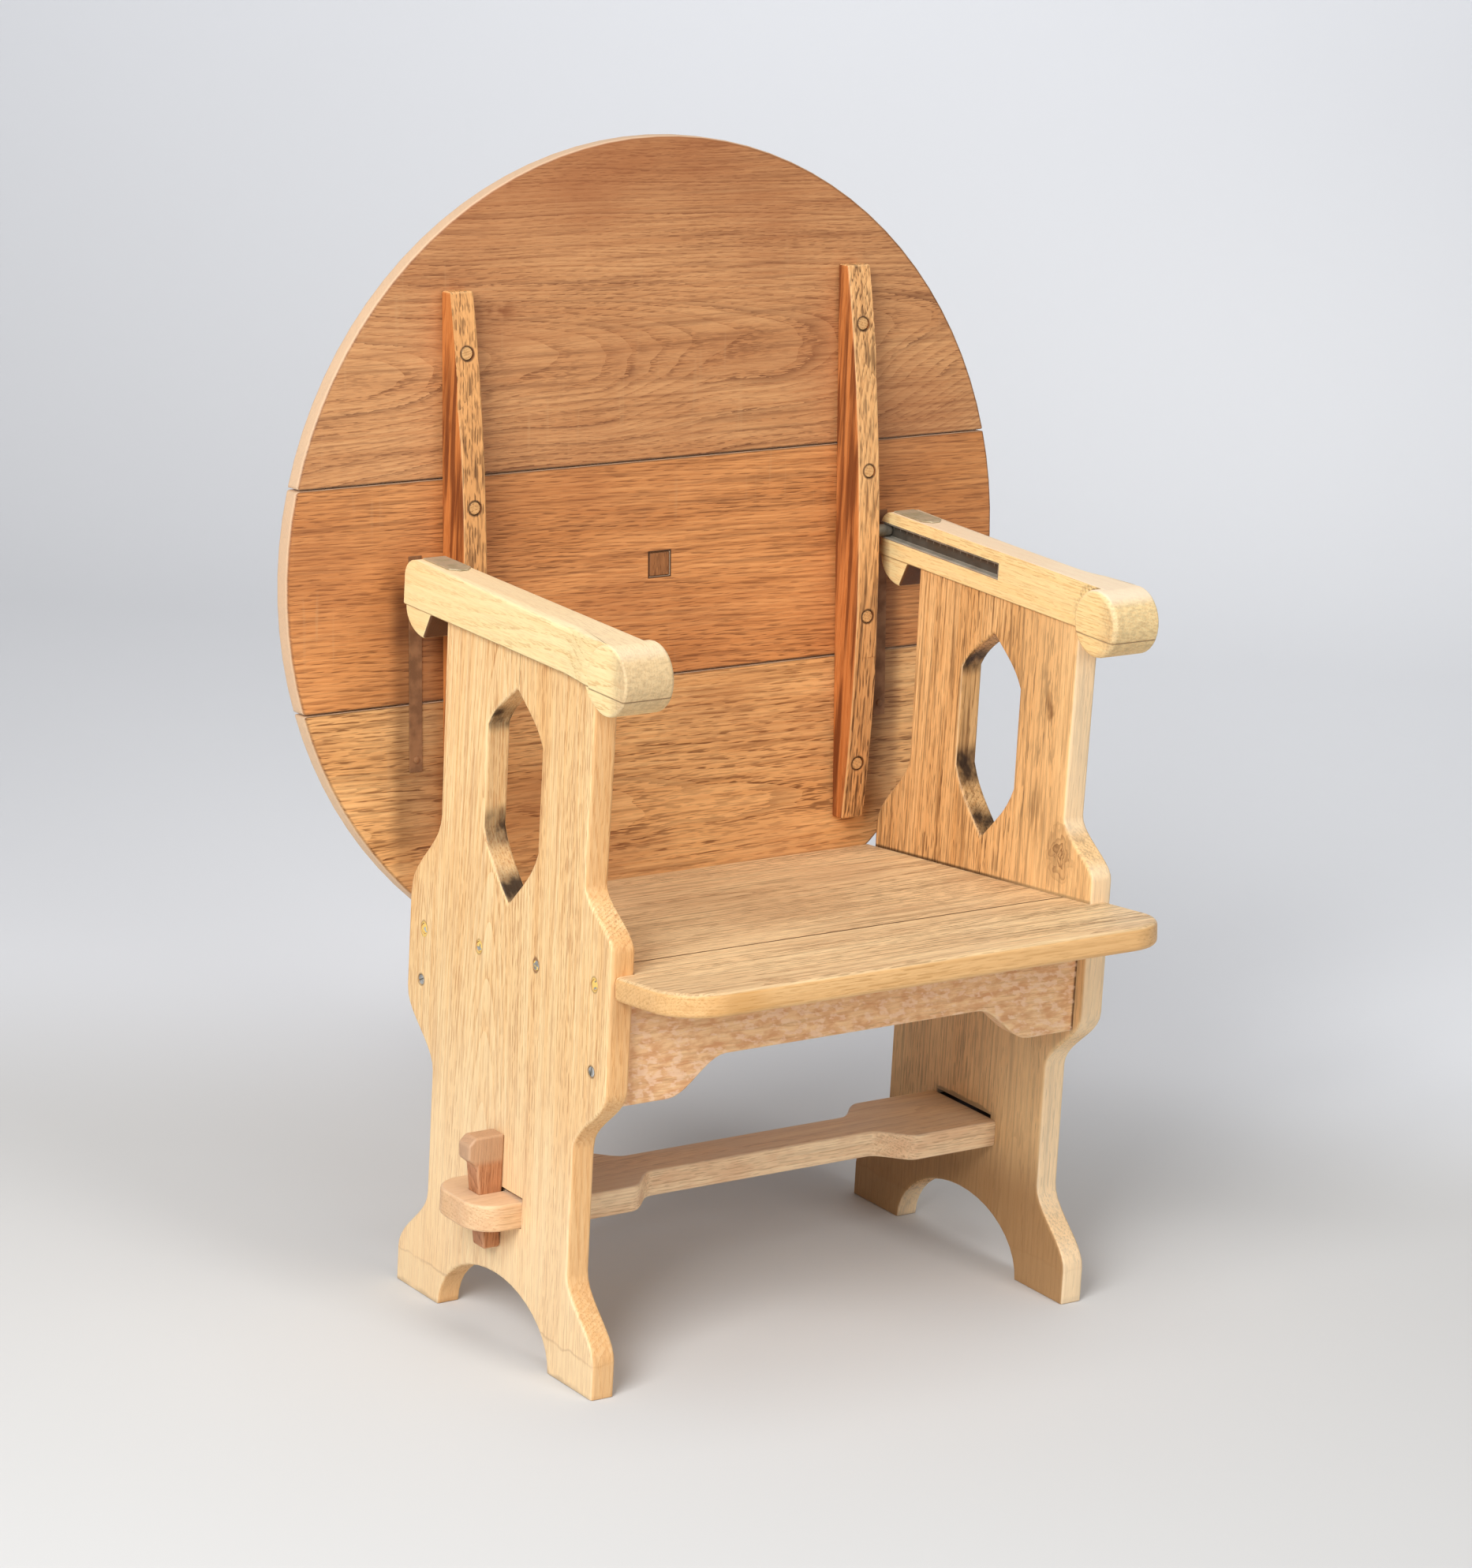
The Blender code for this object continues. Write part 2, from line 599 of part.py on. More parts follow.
def make_seat(root):
    """Two boards screwed between the panels; the front one has ears that pass before them."""
    frame = empty("seat_plane", root, (0.0, -SWELL_HALF, SEAT_HEIGHT), -SEAT_RAKE)
    half = PANEL_INNER - GLUE_GAP
    reach = PANEL_OUTER - SEAT_EAR_INSET
    corner = (reach - SEAT_CORNER_RADIUS, SEAT_CORNER_RADIUS - SEAT_OVERHANG)
    ear = [(half, SEAT_JOINT), (half, -GLUE_GAP), (reach, -GLUE_GAP)]
    right = ear + arc(corner, SEAT_CORNER_RADIUS, 0.0, -90.0, CURVE_STEPS)
    front = piece("seat_front_board", prism_z(right + mirrored(right), SEAT_LOW, 0.0), SEAT_OAK, frame)
    rear = piece("seat_rear_board", box((-half, half), (SEAT_JOINT + GLUE_GAP, SEAT_REAR), (SEAT_LOW, 0.0)),
                 SEAT_OAK, frame)
    carve(front, seat_screw_holes(screw_depths()))
    carve(rear, seat_screw_holes(screw_depths()))


def seat_underside(y):
    """The height of the raked seat's lower face above a given y."""
    start_y, start_z = seat_point(0.0, SEAT_LOW)
    return start_z - (y - start_y) * math.tan(SEAT_RAKE)


def rail(name, lower_edge, front, root):
    """A board on edge under the seat; its top follows the rake. lower_edge runs to +x in (x, z)."""
    back = front + RAIL_THICKNESS
    half = PANEL_INNER - GLUE_GAP
    rings = []
    for y in (front, back):
        top = seat_underside(y) - GLUE_GAP
        rings.append([(x, y, z) for x, z in lower_edge] + [(half, y, top), (-half, y, top)])
    board = piece(name, loft(*rings), ROSY_OAK, root)
    y = front + RAIL_THICKNESS / 2
    holes = []
    for word, side in SIDES:
        start = (side * PANEL_OUTER, y, RAIL_SCREW_HEIGHT)
        end = (side * (PANEL_INNER - SCREW_REACH - GLUE_GAP), y, RAIL_SCREW_HEIGHT)
        holes.append(rod(SCREW_SHANK_DIAMETER / 2 + GLUE_GAP, start, end))
    carve(board, holes)


def make_rails(root):
    """The arched front apron and the plain rear rail."""
    half = PANEL_INNER - GLUE_GAP
    shoulder = ogee((RAIL_LOW + APRON_ARCH_RISE, APRON_ARCH_HALF), (RAIL_LOW, APRON_ARCH_HALF + APRON_OGEE))
    right = [(x, z) for z, x in shoulder] + [(half, RAIL_LOW)]
    rail("front_apron", mirrored(right) + right, -RAIL_FACE, root)
    rail("rear_rail", [(-half, RAIL_LOW), (half, RAIL_LOW)], RAIL_FACE - RAIL_THICKNESS, root)


def wedge_width(z):
    """A wedge's width at a height, from its tip up to its nib."""
    tip = STRETCHER_LOW - WEDGE_BELOW_TENON
    neck = STRETCHER_TOP + WEDGE_ABOVE_TENON - WEDGE_NIB_HEIGHT
    return WEDGE_TIP_WIDTH + (WEDGE_TOP_WIDTH - WEDGE_TIP_WIDTH) * (z - tip) / (neck - tip)


def make_wedge(word, side, root):
    """A tapered key dropped through a tenon, with a nib at its head."""
    seat = PANEL_OUTER + GLUE_GAP
    tip = STRETCHER_LOW - WEDGE_BELOW_TENON
    head = STRETCHER_TOP + WEDGE_ABOVE_TENON
    neck = head - WEDGE_NIB_HEIGHT
    brim = seat + WEDGE_TOP_WIDTH + WEDGE_NIB_WIDTH
    outline = [(seat, tip), (seat + WEDGE_TIP_WIDTH, tip), (seat + WEDGE_TOP_WIDTH, neck),
               (brim, neck + WEDGE_NIB_CHAMFER), (brim, head - WEDGE_NIB_CHAMFER),
               (brim - WEDGE_NIB_CHAMFER, head), (seat, head)]
    half = WEDGE_THICKNESS / 2
    piece("wedge_" + word, prism_y([(side * x, z) for x, z in outline], -half, half), ROSY_OAK, root)


def make_stretcher(root):
    """A flat rail narrowed between its ends, with round-ended tenons and a slot for each wedge."""
    shoulder = PANEL_INNER - GLUE_GAP
    wide = shoulder - STRETCHER_END_LENGTH
    end = PANEL_OUTER + TENON_REACH
    corner = (end - TENON_CORNER_RADIUS, TENON_HALF - TENON_CORNER_RADIUS)
    swing = ogee((STRETCHER_HALF, wide - STRETCHER_OGEE), (STRETCHER_END_HALF, wide))
    quarter = [(x, y) for y, x in swing]
    quarter += [(shoulder, STRETCHER_END_HALF), (shoulder, TENON_HALF)]
    quarter += list(reversed(arc(corner, TENON_CORNER_RADIUS, 0.0, 90.0, CURVE_STEPS)))
    right = quarter + [(x, -y) for x, y in reversed(quarter)]
    left = [(-x, -y) for x, y in right]
    rail_body = piece("stretcher", prism_z(right + left, STRETCHER_LOW, STRETCHER_TOP), ROSY_OAK, root)
    slot_outer = PANEL_OUTER + 2 * GLUE_GAP + wedge_width(STRETCHER_TOP)
    slot_half = WEDGE_THICKNESS / 2 + GLUE_GAP
    slot_z = (STRETCHER_LOW - CUT_OVERRUN, STRETCHER_TOP + CUT_OVERRUN)
    slots = [box(across(side, PANEL_OUTER - WEDGE_ENTRY, slot_outer), (-slot_half, slot_half), slot_z)
             for word, side in SIDES]
    carve(rail_body, slots)


def chord(height):
    """Degrees above level where a joint line crosses the top's rim."""
    return math.degrees(math.asin(height / TOP_RADIUS))


def board_outline(low, high):
    """A board of the round top in (x, z) between two joint lines; None is the rim itself."""
    start = -90.0 if low is None else chord(low)
    end = 90.0 if high is None else chord(high)
    steps = round(TOP_STEPS * (end - start) / 360.0)
    right = arc((0.0, 0.0), TOP_RADIUS, start, end, steps)
    left = mirrored(right)
    if high is None:
        left = left[1:]
    if low is None:
        left = left[:-1]
    return right + left


def batten_depth(z):
    """A batten's thickness along its length: a shallow bow, thickest at the top's centre."""
    end = BATTEN_HALF_LENGTH if z > 0.0 else BATTEN_FOOT
    return BATTEN_MIDDLE - (BATTEN_MIDDLE - BATTEN_END) * (z / end) ** 2


def batten_dowels(side, gap):
    """The pegs through a batten into the boards; with a gap they are their holes."""
    x = side * (BATTEN_INNER + BATTEN_WIDTH / 2)
    pegs = []
    for z in DOWEL_PLACES:
        front = BATTEN_BACK - batten_depth(z) - (CUT_OVERRUN if gap else 0.0)
        pegs.append(rod(DOWEL_DIAMETER / 2 + gap, (x, front, z), (x, UNDERSIDE + DOWEL_REACH + gap, z)))
    return pegs


def plug(half, front, back):
    """The square plug near the top's centre; a little wider it is the hole for it."""
    return box((PLUG_X - half, PLUG_X + half), (front, back), (PLUG_Z - half, PLUG_Z + half))


def make_boards(frame):
    """The three boards and the square plug in the middle one."""
    half_gap = JOINT_GAP / 2
    spans = {"upper": (UPPER_JOINT + half_gap, None),
             "middle": (LOWER_JOINT + half_gap, UPPER_JOINT - half_gap),
             "lower": (None, LOWER_JOINT - half_gap)}
    back = UNDERSIDE + TOP_THICKNESS
    for word, span in spans.items():
        board = piece("top_board_" + word, prism_y(board_outline(*span), UNDERSIDE, back), BROWN_OAK, frame)
        cuts = batten_dowels(-1, GLUE_GAP) + batten_dowels(1, GLUE_GAP)
        if word == "middle":
            cuts.append(plug(PLUG_SIZE / 2 + GLUE_GAP, UNDERSIDE - CUT_OVERRUN, back + CUT_OVERRUN))
        carve(board, cuts)
    piece("centre_plug", plug(PLUG_SIZE / 2, UNDERSIDE, back), ROSY_OAK, frame)


def make_batten(word, side, frame):
    """A bow-fronted batten, slotted in its outer face for the pivot stud, with its pegs."""
    bow = []
    for i in range(2 * CURVE_STEPS + 1):
        z = BATTEN_FOOT + (BATTEN_HALF_LENGTH - BATTEN_FOOT) * i / (2 * CURVE_STEPS)
        bow.append((BATTEN_BACK - batten_depth(z), z))
    outline = bow + [(BATTEN_BACK, BATTEN_HALF_LENGTH), (BATTEN_BACK, BATTEN_FOOT)]
    body = prism_x(outline, *across(side, BATTEN_INNER, BATTEN_OUTER))
    batten = piece("batten_" + word, body, PALE_OAK, frame)
    slot_x = across(side, BATTEN_OUTER - BATTEN_SLOT_DEPTH, BATTEN_OUTER + CUT_OVERRUN)
    slot_z = (TOP_CENTRE_DROP - SLIDE_TRAVEL - SLOT_HALF, TOP_CENTRE_DROP + SLOT_HALF)
    slot = box(slot_x, (-SLOT_HALF, SLOT_HALF), slot_z)
    carve(batten, [slot] + batten_dowels(side, GLUE_GAP))
    numbered("batten_dowel_" + word, batten_dowels(side, 0.0), BROWN_OAK, frame)


def make_strip(word, side, frame):
    """A thin steel strip under the top that slides over the plate on the arm."""
    inner = ARM_INNER + STRIP_INSET
    back = UNDERSIDE - GLUE_GAP
    run_z = (TOP_CENTRE_DROP - SLIDE_TRAVEL - STRIP_PAST_TRAVEL, TOP_CENTRE_DROP + STRIP_ABOVE_PIN)
    strip = box(across(side, inner, inner + STRIP_WIDTH), (back - STRIP_THICKNESS, back), run_z)
    piece("wear_strip_" + word, strip, STEEL, frame)


def make_stud(word, side, axis_frame):
    """A collared pivot stud between a batten's slot and the rear end of the arm's channel."""
    start = BATTEN_OUTER - BATTEN_SLOT_DEPTH + RUN_GAP
    end = ARM_INNER + CHANNEL_DEPTH - CHANNEL_WALL - RUN_GAP
    collar = BATTEN_OUTER + RUN_GAP - start
    thin = STUD_DIAMETER / 2
    wide = COLLAR_DIAMETER / 2
    stations = [(0.0, thin), (collar, thin), (collar, wide), (collar + COLLAR_THICKNESS, wide),
                (collar + COLLAR_THICKNESS, thin), (end - start, thin)]
    stud = placed(turned(stations), (side, 0, 0), (side * start, 0.0, 0.0))
    piece("pivot_stud_" + word, stud, STEEL, axis_frame)


def make_top(root):
    """Everything that tips forward with the top, hung on the pivot axis."""
    axis_frame = empty("tip_axis", root, (0.0, PIN_Y, PIN_Z))
    tilted = empty("top_plane", axis_frame, (0.0, 0.0, 0.0), -TOP_LEAN)
    frame = empty("top_centre", tilted, (0.0, 0.0, -TOP_CENTRE_DROP))
    make_boards(frame)
    for word, side in SIDES:
        make_stud(word, side, axis_frame)
        make_batten(word, side, frame)
        make_strip(word, side, frame)


def main():
    for item in list(bpy.data.objects):
        bpy.data.objects.remove(item)
    root = empty("root", None, (0.0, -middle_y(), 0.0))
    for word, side in SIDES:
        make_panel(word, side, root)
        make_arm(word, side, root)
        make_wedge(word, side, root)
    make_seat(root)
    make_rails(root)
    make_stretcher(root)
    make_top(root)


main()
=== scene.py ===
"""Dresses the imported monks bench: worn, stripped oak with steel fittings, in a pale studio."""
import math

import bmesh
import bpy
from mathutils import Matrix, Vector


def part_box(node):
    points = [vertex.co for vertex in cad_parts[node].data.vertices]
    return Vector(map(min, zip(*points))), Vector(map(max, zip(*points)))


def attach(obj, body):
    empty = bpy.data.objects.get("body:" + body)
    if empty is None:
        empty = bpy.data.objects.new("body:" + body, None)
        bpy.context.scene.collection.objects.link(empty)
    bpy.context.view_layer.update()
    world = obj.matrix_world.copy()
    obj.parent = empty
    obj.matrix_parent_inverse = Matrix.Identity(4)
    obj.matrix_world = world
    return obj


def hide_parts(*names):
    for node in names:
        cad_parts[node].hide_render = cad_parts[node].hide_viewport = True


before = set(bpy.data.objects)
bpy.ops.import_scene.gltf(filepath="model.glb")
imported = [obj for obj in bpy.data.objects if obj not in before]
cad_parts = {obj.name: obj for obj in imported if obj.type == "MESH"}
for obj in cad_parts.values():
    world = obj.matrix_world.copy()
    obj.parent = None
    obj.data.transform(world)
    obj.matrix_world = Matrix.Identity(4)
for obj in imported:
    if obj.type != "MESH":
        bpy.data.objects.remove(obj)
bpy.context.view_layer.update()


# Side panels.
# Two inch-thick oak planks, stripped of an old finish, sawn to a waisted outline and pierced
# with a hand hole. Hands have darkened the holes, and scrubbing has bleached the feet.
class Wire:
    """One output in a material's node tree; arithmetic on wires adds Math nodes."""

    def __init__(self, tree, socket):
        self.tree = tree
        self.socket = socket

    def node(self, kind, inputs, out=0, stops=(), **settings):
        """Adds a node: its settings and ramp stops first, then its inputs' values or wires."""
        made = self.tree.nodes.new("ShaderNode" + kind)
        for setting, value in settings.items():
            setattr(made, setting, value)
        for number, (position, colour) in enumerate(stops):
            ramp = made.color_ramp.elements
            stop = ramp[number] if number < len(ramp) else ramp.new(position)
            stop.position = position
            stop.color = colour
        for key, value in inputs.items():
            if isinstance(value, Wire):
                self.tree.links.new(value.socket, made.inputs[key])
            else:
                made.inputs[key].default_value = value
        return Wire(self.tree, made.outputs[out])

    def __add__(self, other):
        return self.node("Math", {0: self, 1: other}, operation="ADD")

    def __sub__(self, other):
        return self.node("Math", {0: self, 1: other}, operation="SUBTRACT")

    def __rsub__(self, other):
        return self.node("Math", {0: other, 1: self}, operation="SUBTRACT")

    def __mul__(self, other):
        return self.node("Math", {0: self, 1: other}, operation="MULTIPLY")

    def __truediv__(self, other):
        return self.node("Math", {0: self, 1: other}, operation="DIVIDE")

    def __pow__(self, other):
        return self.node("Math", {0: self, 1: other}, operation="POWER")

    def __abs__(self):
        return self.node("Math", {0: self}, operation="ABSOLUTE")

    __radd__ = __add__
    __rmul__ = __mul__


def srgb(red, green, blue):
    """A colour as a photograph gives it, 0 to 255, in Blender's linear values."""
    parts = [value / 255 for value in (red, green, blue)]
    return (*[v / 12.92 if v <= 0.04045 else ((v + 0.055) / 1.055) ** 2.4 for v in parts], 1.0)


def fade(value, low, high):
    """Nought below low, one above high, and smooth between; high may be the smaller."""
    return value.node("MapRange", {0: value, 1: low, 2: high}, interpolation_type="SMOOTHSTEP")


def tint(mask, under, over):
    """One colour laid over another where a mask is up."""
    return mask.node("Mix", {0: mask, 6: under, 7: over}, out=2, data_type="RGBA")


def grit(x, y, z, detail=2.0):
    """Noise on three stretched coordinates, nought to one."""
    where = x.node("CombineXYZ", {0: x, 1: y, 2: z})
    return x.node("TexNoise", {"Vector": where, "Scale": 1.0, "Detail": detail})


def near(value, middle, half):
    """One at a middle value, falling smoothly to nought at half a width either side."""
    return fade(abs(value - middle), half, 0.0)


def fraction(value):
    """What a value has above its whole number."""
    return value.node("Math", {0: value}, operation="FRACT")


def oak(name, grain, pale, ring, pore, worn, pith, spacing=0.0030, sway=0.020, ripple=0.0016,
        taper=0.03, ringing=0.5, bold=0.0, bold_gap=0.02, dashes=0.8, dash=(0.0006, 0.006),
        veins=0.2, cloud=0.4, wear=0.3, seed=0.0, rough=0.55, marks=None):
    """A board of oak. grain names the axes along, across and through it; pith is where the tree's
    heart lies across and through. Rings a spacing apart, which sway, ripple and taper along the
    board, bold dark rings, pores, veins and fibres follow from that. dash is a pore's width and
    length, and marks adds the board's own stains to the colour, together with the painted light and
    shade that some boards carry."""
    material = bpy.data.materials.new(name)
    material.use_nodes = True
    tree = material.node_tree
    shader = tree.nodes["Principled BSDF"]
    source = tree.nodes.new("ShaderNodeTexCoord")
    place = Wire(tree, source.outputs["Object"])
    facing = Wire(tree, source.outputs["Normal"])
    at = {axis: place.node("SeparateXYZ", {0: place}, out=i) for i, axis in enumerate("xyz")}
    face = {axis: place.node("SeparateXYZ", {0: facing}, out=i) for i, axis in enumerate("xyz")}
    along, across, through = (at[axis] for axis in grain)
    drift = grit(along * 1.6 + seed, across * 3.0, through * 3.0) - 0.5
    wave = grit(along * 9.0 + seed, across * 40.0, through * 40.0) - 0.5
    side = across - pith[0] + drift * sway + wave * ripple
    depth = through - pith[1] + drift * sway * 0.6 + wave * ripple
    radius = (side * side + depth * depth) ** 0.5 + along * taper
    uneven = radius.node("TexNoise", {"W": radius * 45.0, "Scale": 1.0, "Detail": 1.0},
                         noise_dimensions="1D")
    years = (radius + (uneven - 0.5) * spacing * 3.0) / spacing
    early = (1.0 - fraction(years)) ** 2.0
    fibre = grit(along * 6.0 + seed, across * 300.0, through * 300.0, 3.0)
    wide, long = 0.5 / dash[0], 0.5 / dash[1]
    stray = wave * ripple
    flecks = grit(along * long + seed, (across + stray) * wide, (through + stray) * wide, 1.0)
    zones = fade(grit(along * 3.0, across * 34.0 + seed, through * 34.0), 0.36, 0.64)
    pores = fade(flecks, 0.47, 0.60) * (early * 0.75 + 0.25) * (zones * 0.5 + 0.5)
    clouds = grit(along * 3.0 + seed, across * 11.0, through * 11.0, 3.0)
    lines = fade(grit(along * 6.0 + seed, across * 210.0, through * 210.0), 0.50, 0.70)
    colour = tint(early * ringing, pale, ring)
    colour = tint(fade(fibre, 0.38, 0.72) * 0.55, colour, ring)
    colour = tint((fade(clouds, 0.45, 0.75) + zones * 0.6) * cloud, colour, ring)
    if bold:
        rings = (radius + (uneven - 0.5) * bold_gap + (flecks - 0.5) * 0.0022) / bold_gap
        strong = (1.0 - fraction(rings)) ** 14.0
        broken = grit(along * 7.0 + seed, across * 40.0, through * 40.0, 4.0)
        colour = tint(strong * fade(broken, 0.34, 0.60) * bold, colour, pore)
    colour = tint(lines * veins, colour, pore)
    colour = tint(pores * dashes, colour, pore)
    rubbed = place.node("Attribute", {}, out=2, attribute_name="worn")
    colour = tint(rubbed * wear, colour, worn)
    if marks:
        colour = marks(colour, at, face)
    height = fibre * 0.5 + (1.0 - pores) * 0.9 + (1.0 - early) * 0.25
    bump = place.node("Bump", {"Height": height, "Strength": 0.35, "Distance": 0.0007})
    tree.links.new(colour.socket, shader.inputs["Base Color"])
    tree.links.new((rough + pores * 0.15 - rubbed * 0.08).socket, shader.inputs["Roughness"])
    tree.links.new(bump.socket, shader.inputs["Normal"])
    shader.inputs["Specular IOR Level"].default_value = 0.35
    return material


def dressed(piece, material, body, slot, *nodes):
    """Gives a finished piece its material, the body it rides on and the solids it stands for."""
    piece.data.materials.clear()
    piece.data.materials.append(material)
    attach(piece, body)
    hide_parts(*nodes)


def eased(node, widest, share, steps=3):
    """A copy of a solid with its arrises worn round. share says, for an edge's middle and length,
    how much of the widest rounding it has; the rounded strips are marked as worn."""
    bpy.ops.object.select_all(action="DESELECT")
    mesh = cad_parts[node].data.copy()
    mesh.name = node + "_worn"
    mesh.materials.clear()
    piece = bpy.data.objects.new(node + "_worn", mesh)
    bpy.context.scene.collection.objects.link(piece)
    bpy.context.view_layer.objects.active = piece
    piece.select_set(True)
    bpy.ops.mesh.customdata_custom_splitnormals_clear()
    bpy.ops.object.mode_set(mode="EDIT")
    bpy.ops.mesh.select_all(action="SELECT")
    bpy.ops.mesh.remove_doubles(threshold=0.00002)
    bpy.ops.mesh.dissolve_limited(angle_limit=math.radians(0.6))
    shape = bmesh.from_edit_mesh(mesh)
    weight = shape.edges.layers.float.new("bevel_weight_edge")
    for edge in shape.edges:
        if edge.is_manifold and edge.calc_face_angle() > math.radians(32):
            middle = (edge.verts[0].co + edge.verts[1].co) / 2
            edge[weight] = share(middle, edge.calc_length())
    bmesh.update_edit_mesh(mesh)
    bpy.ops.object.mode_set(mode="OBJECT")
    for slot in ("face", "arris"):
        mesh.materials.append(bpy.data.materials.get(slot) or bpy.data.materials.new(slot))
    arris = piece.modifiers.new("arris", "BEVEL")
    arris.limit_method = "WEIGHT"
    arris.width = widest
    arris.segments = steps
    arris.use_clamp_overlap = False
    arris.material = 1
    bpy.ops.object.modifier_apply(modifier="arris")
    mark_worn(piece)
    bpy.ops.object.shade_smooth_by_angle(angle=math.radians(46))
    flat = piece.modifiers.new("flat", "WEIGHTED_NORMAL")
    flat.keep_sharp = True
    bpy.ops.object.modifier_apply(modifier="flat")
    return piece


def mark_worn(piece):
    """Writes the worn attribute: one inside the rounded strips, nought at their borders."""
    mesh = piece.data
    inside = [True] * len(mesh.vertices)
    for face in mesh.polygons:
        if face.material_index == 0:
            for corner in face.vertices:
                inside[corner] = False
        face.material_index = 0
    layer = mesh.attributes.new("worn", "FLOAT", "POINT")
    layer.data.foreach_set("value", [float(value) for value in inside])


panel_low, panel_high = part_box("side_panel_right")
PANEL_MIDDLE = (panel_low.y + panel_high.y) / 2
MORTISE_HALF = 0.0450
MORTISE_LOW = 0.1225
MORTISE_HIGH = 0.1550
CURVE_FACET = 0.003
SCRUB_LINE = 0.034
HOLE_MIDDLE = 0.53
HOLE_DIRT = ((0.590, 0.022), (0.484, 0.030), (0.432, 0.026))
SEAT_TOP = 0.3865
SEAT_RAKE = 0.105
FILLER_WIDE = 0.0056
FILLER_HIGH = 0.0074
BARED_SCREW = "2"
KNOT_Y, KNOT_Z = -0.112, 0.440
BUD_Y, BUD_Z = -0.079, 0.574
FLECK_Y, FLECK_Z = -0.070, 0.470
SPLIT_FOOT = 0.628


def panel_edges(middle, length):
    """Round the outline well over, the floor edge less, and leave mortise and hidden top crisp."""
    if length < CURVE_FACET or middle.z > panel_high.z - 0.001:
        return 0.0
    if abs(middle.y - PANEL_MIDDLE) < MORTISE_HALF and MORTISE_LOW < middle.z < MORTISE_HIGH:
        return 0.0
    return 0.5 if middle.z < 0.001 else 1.0


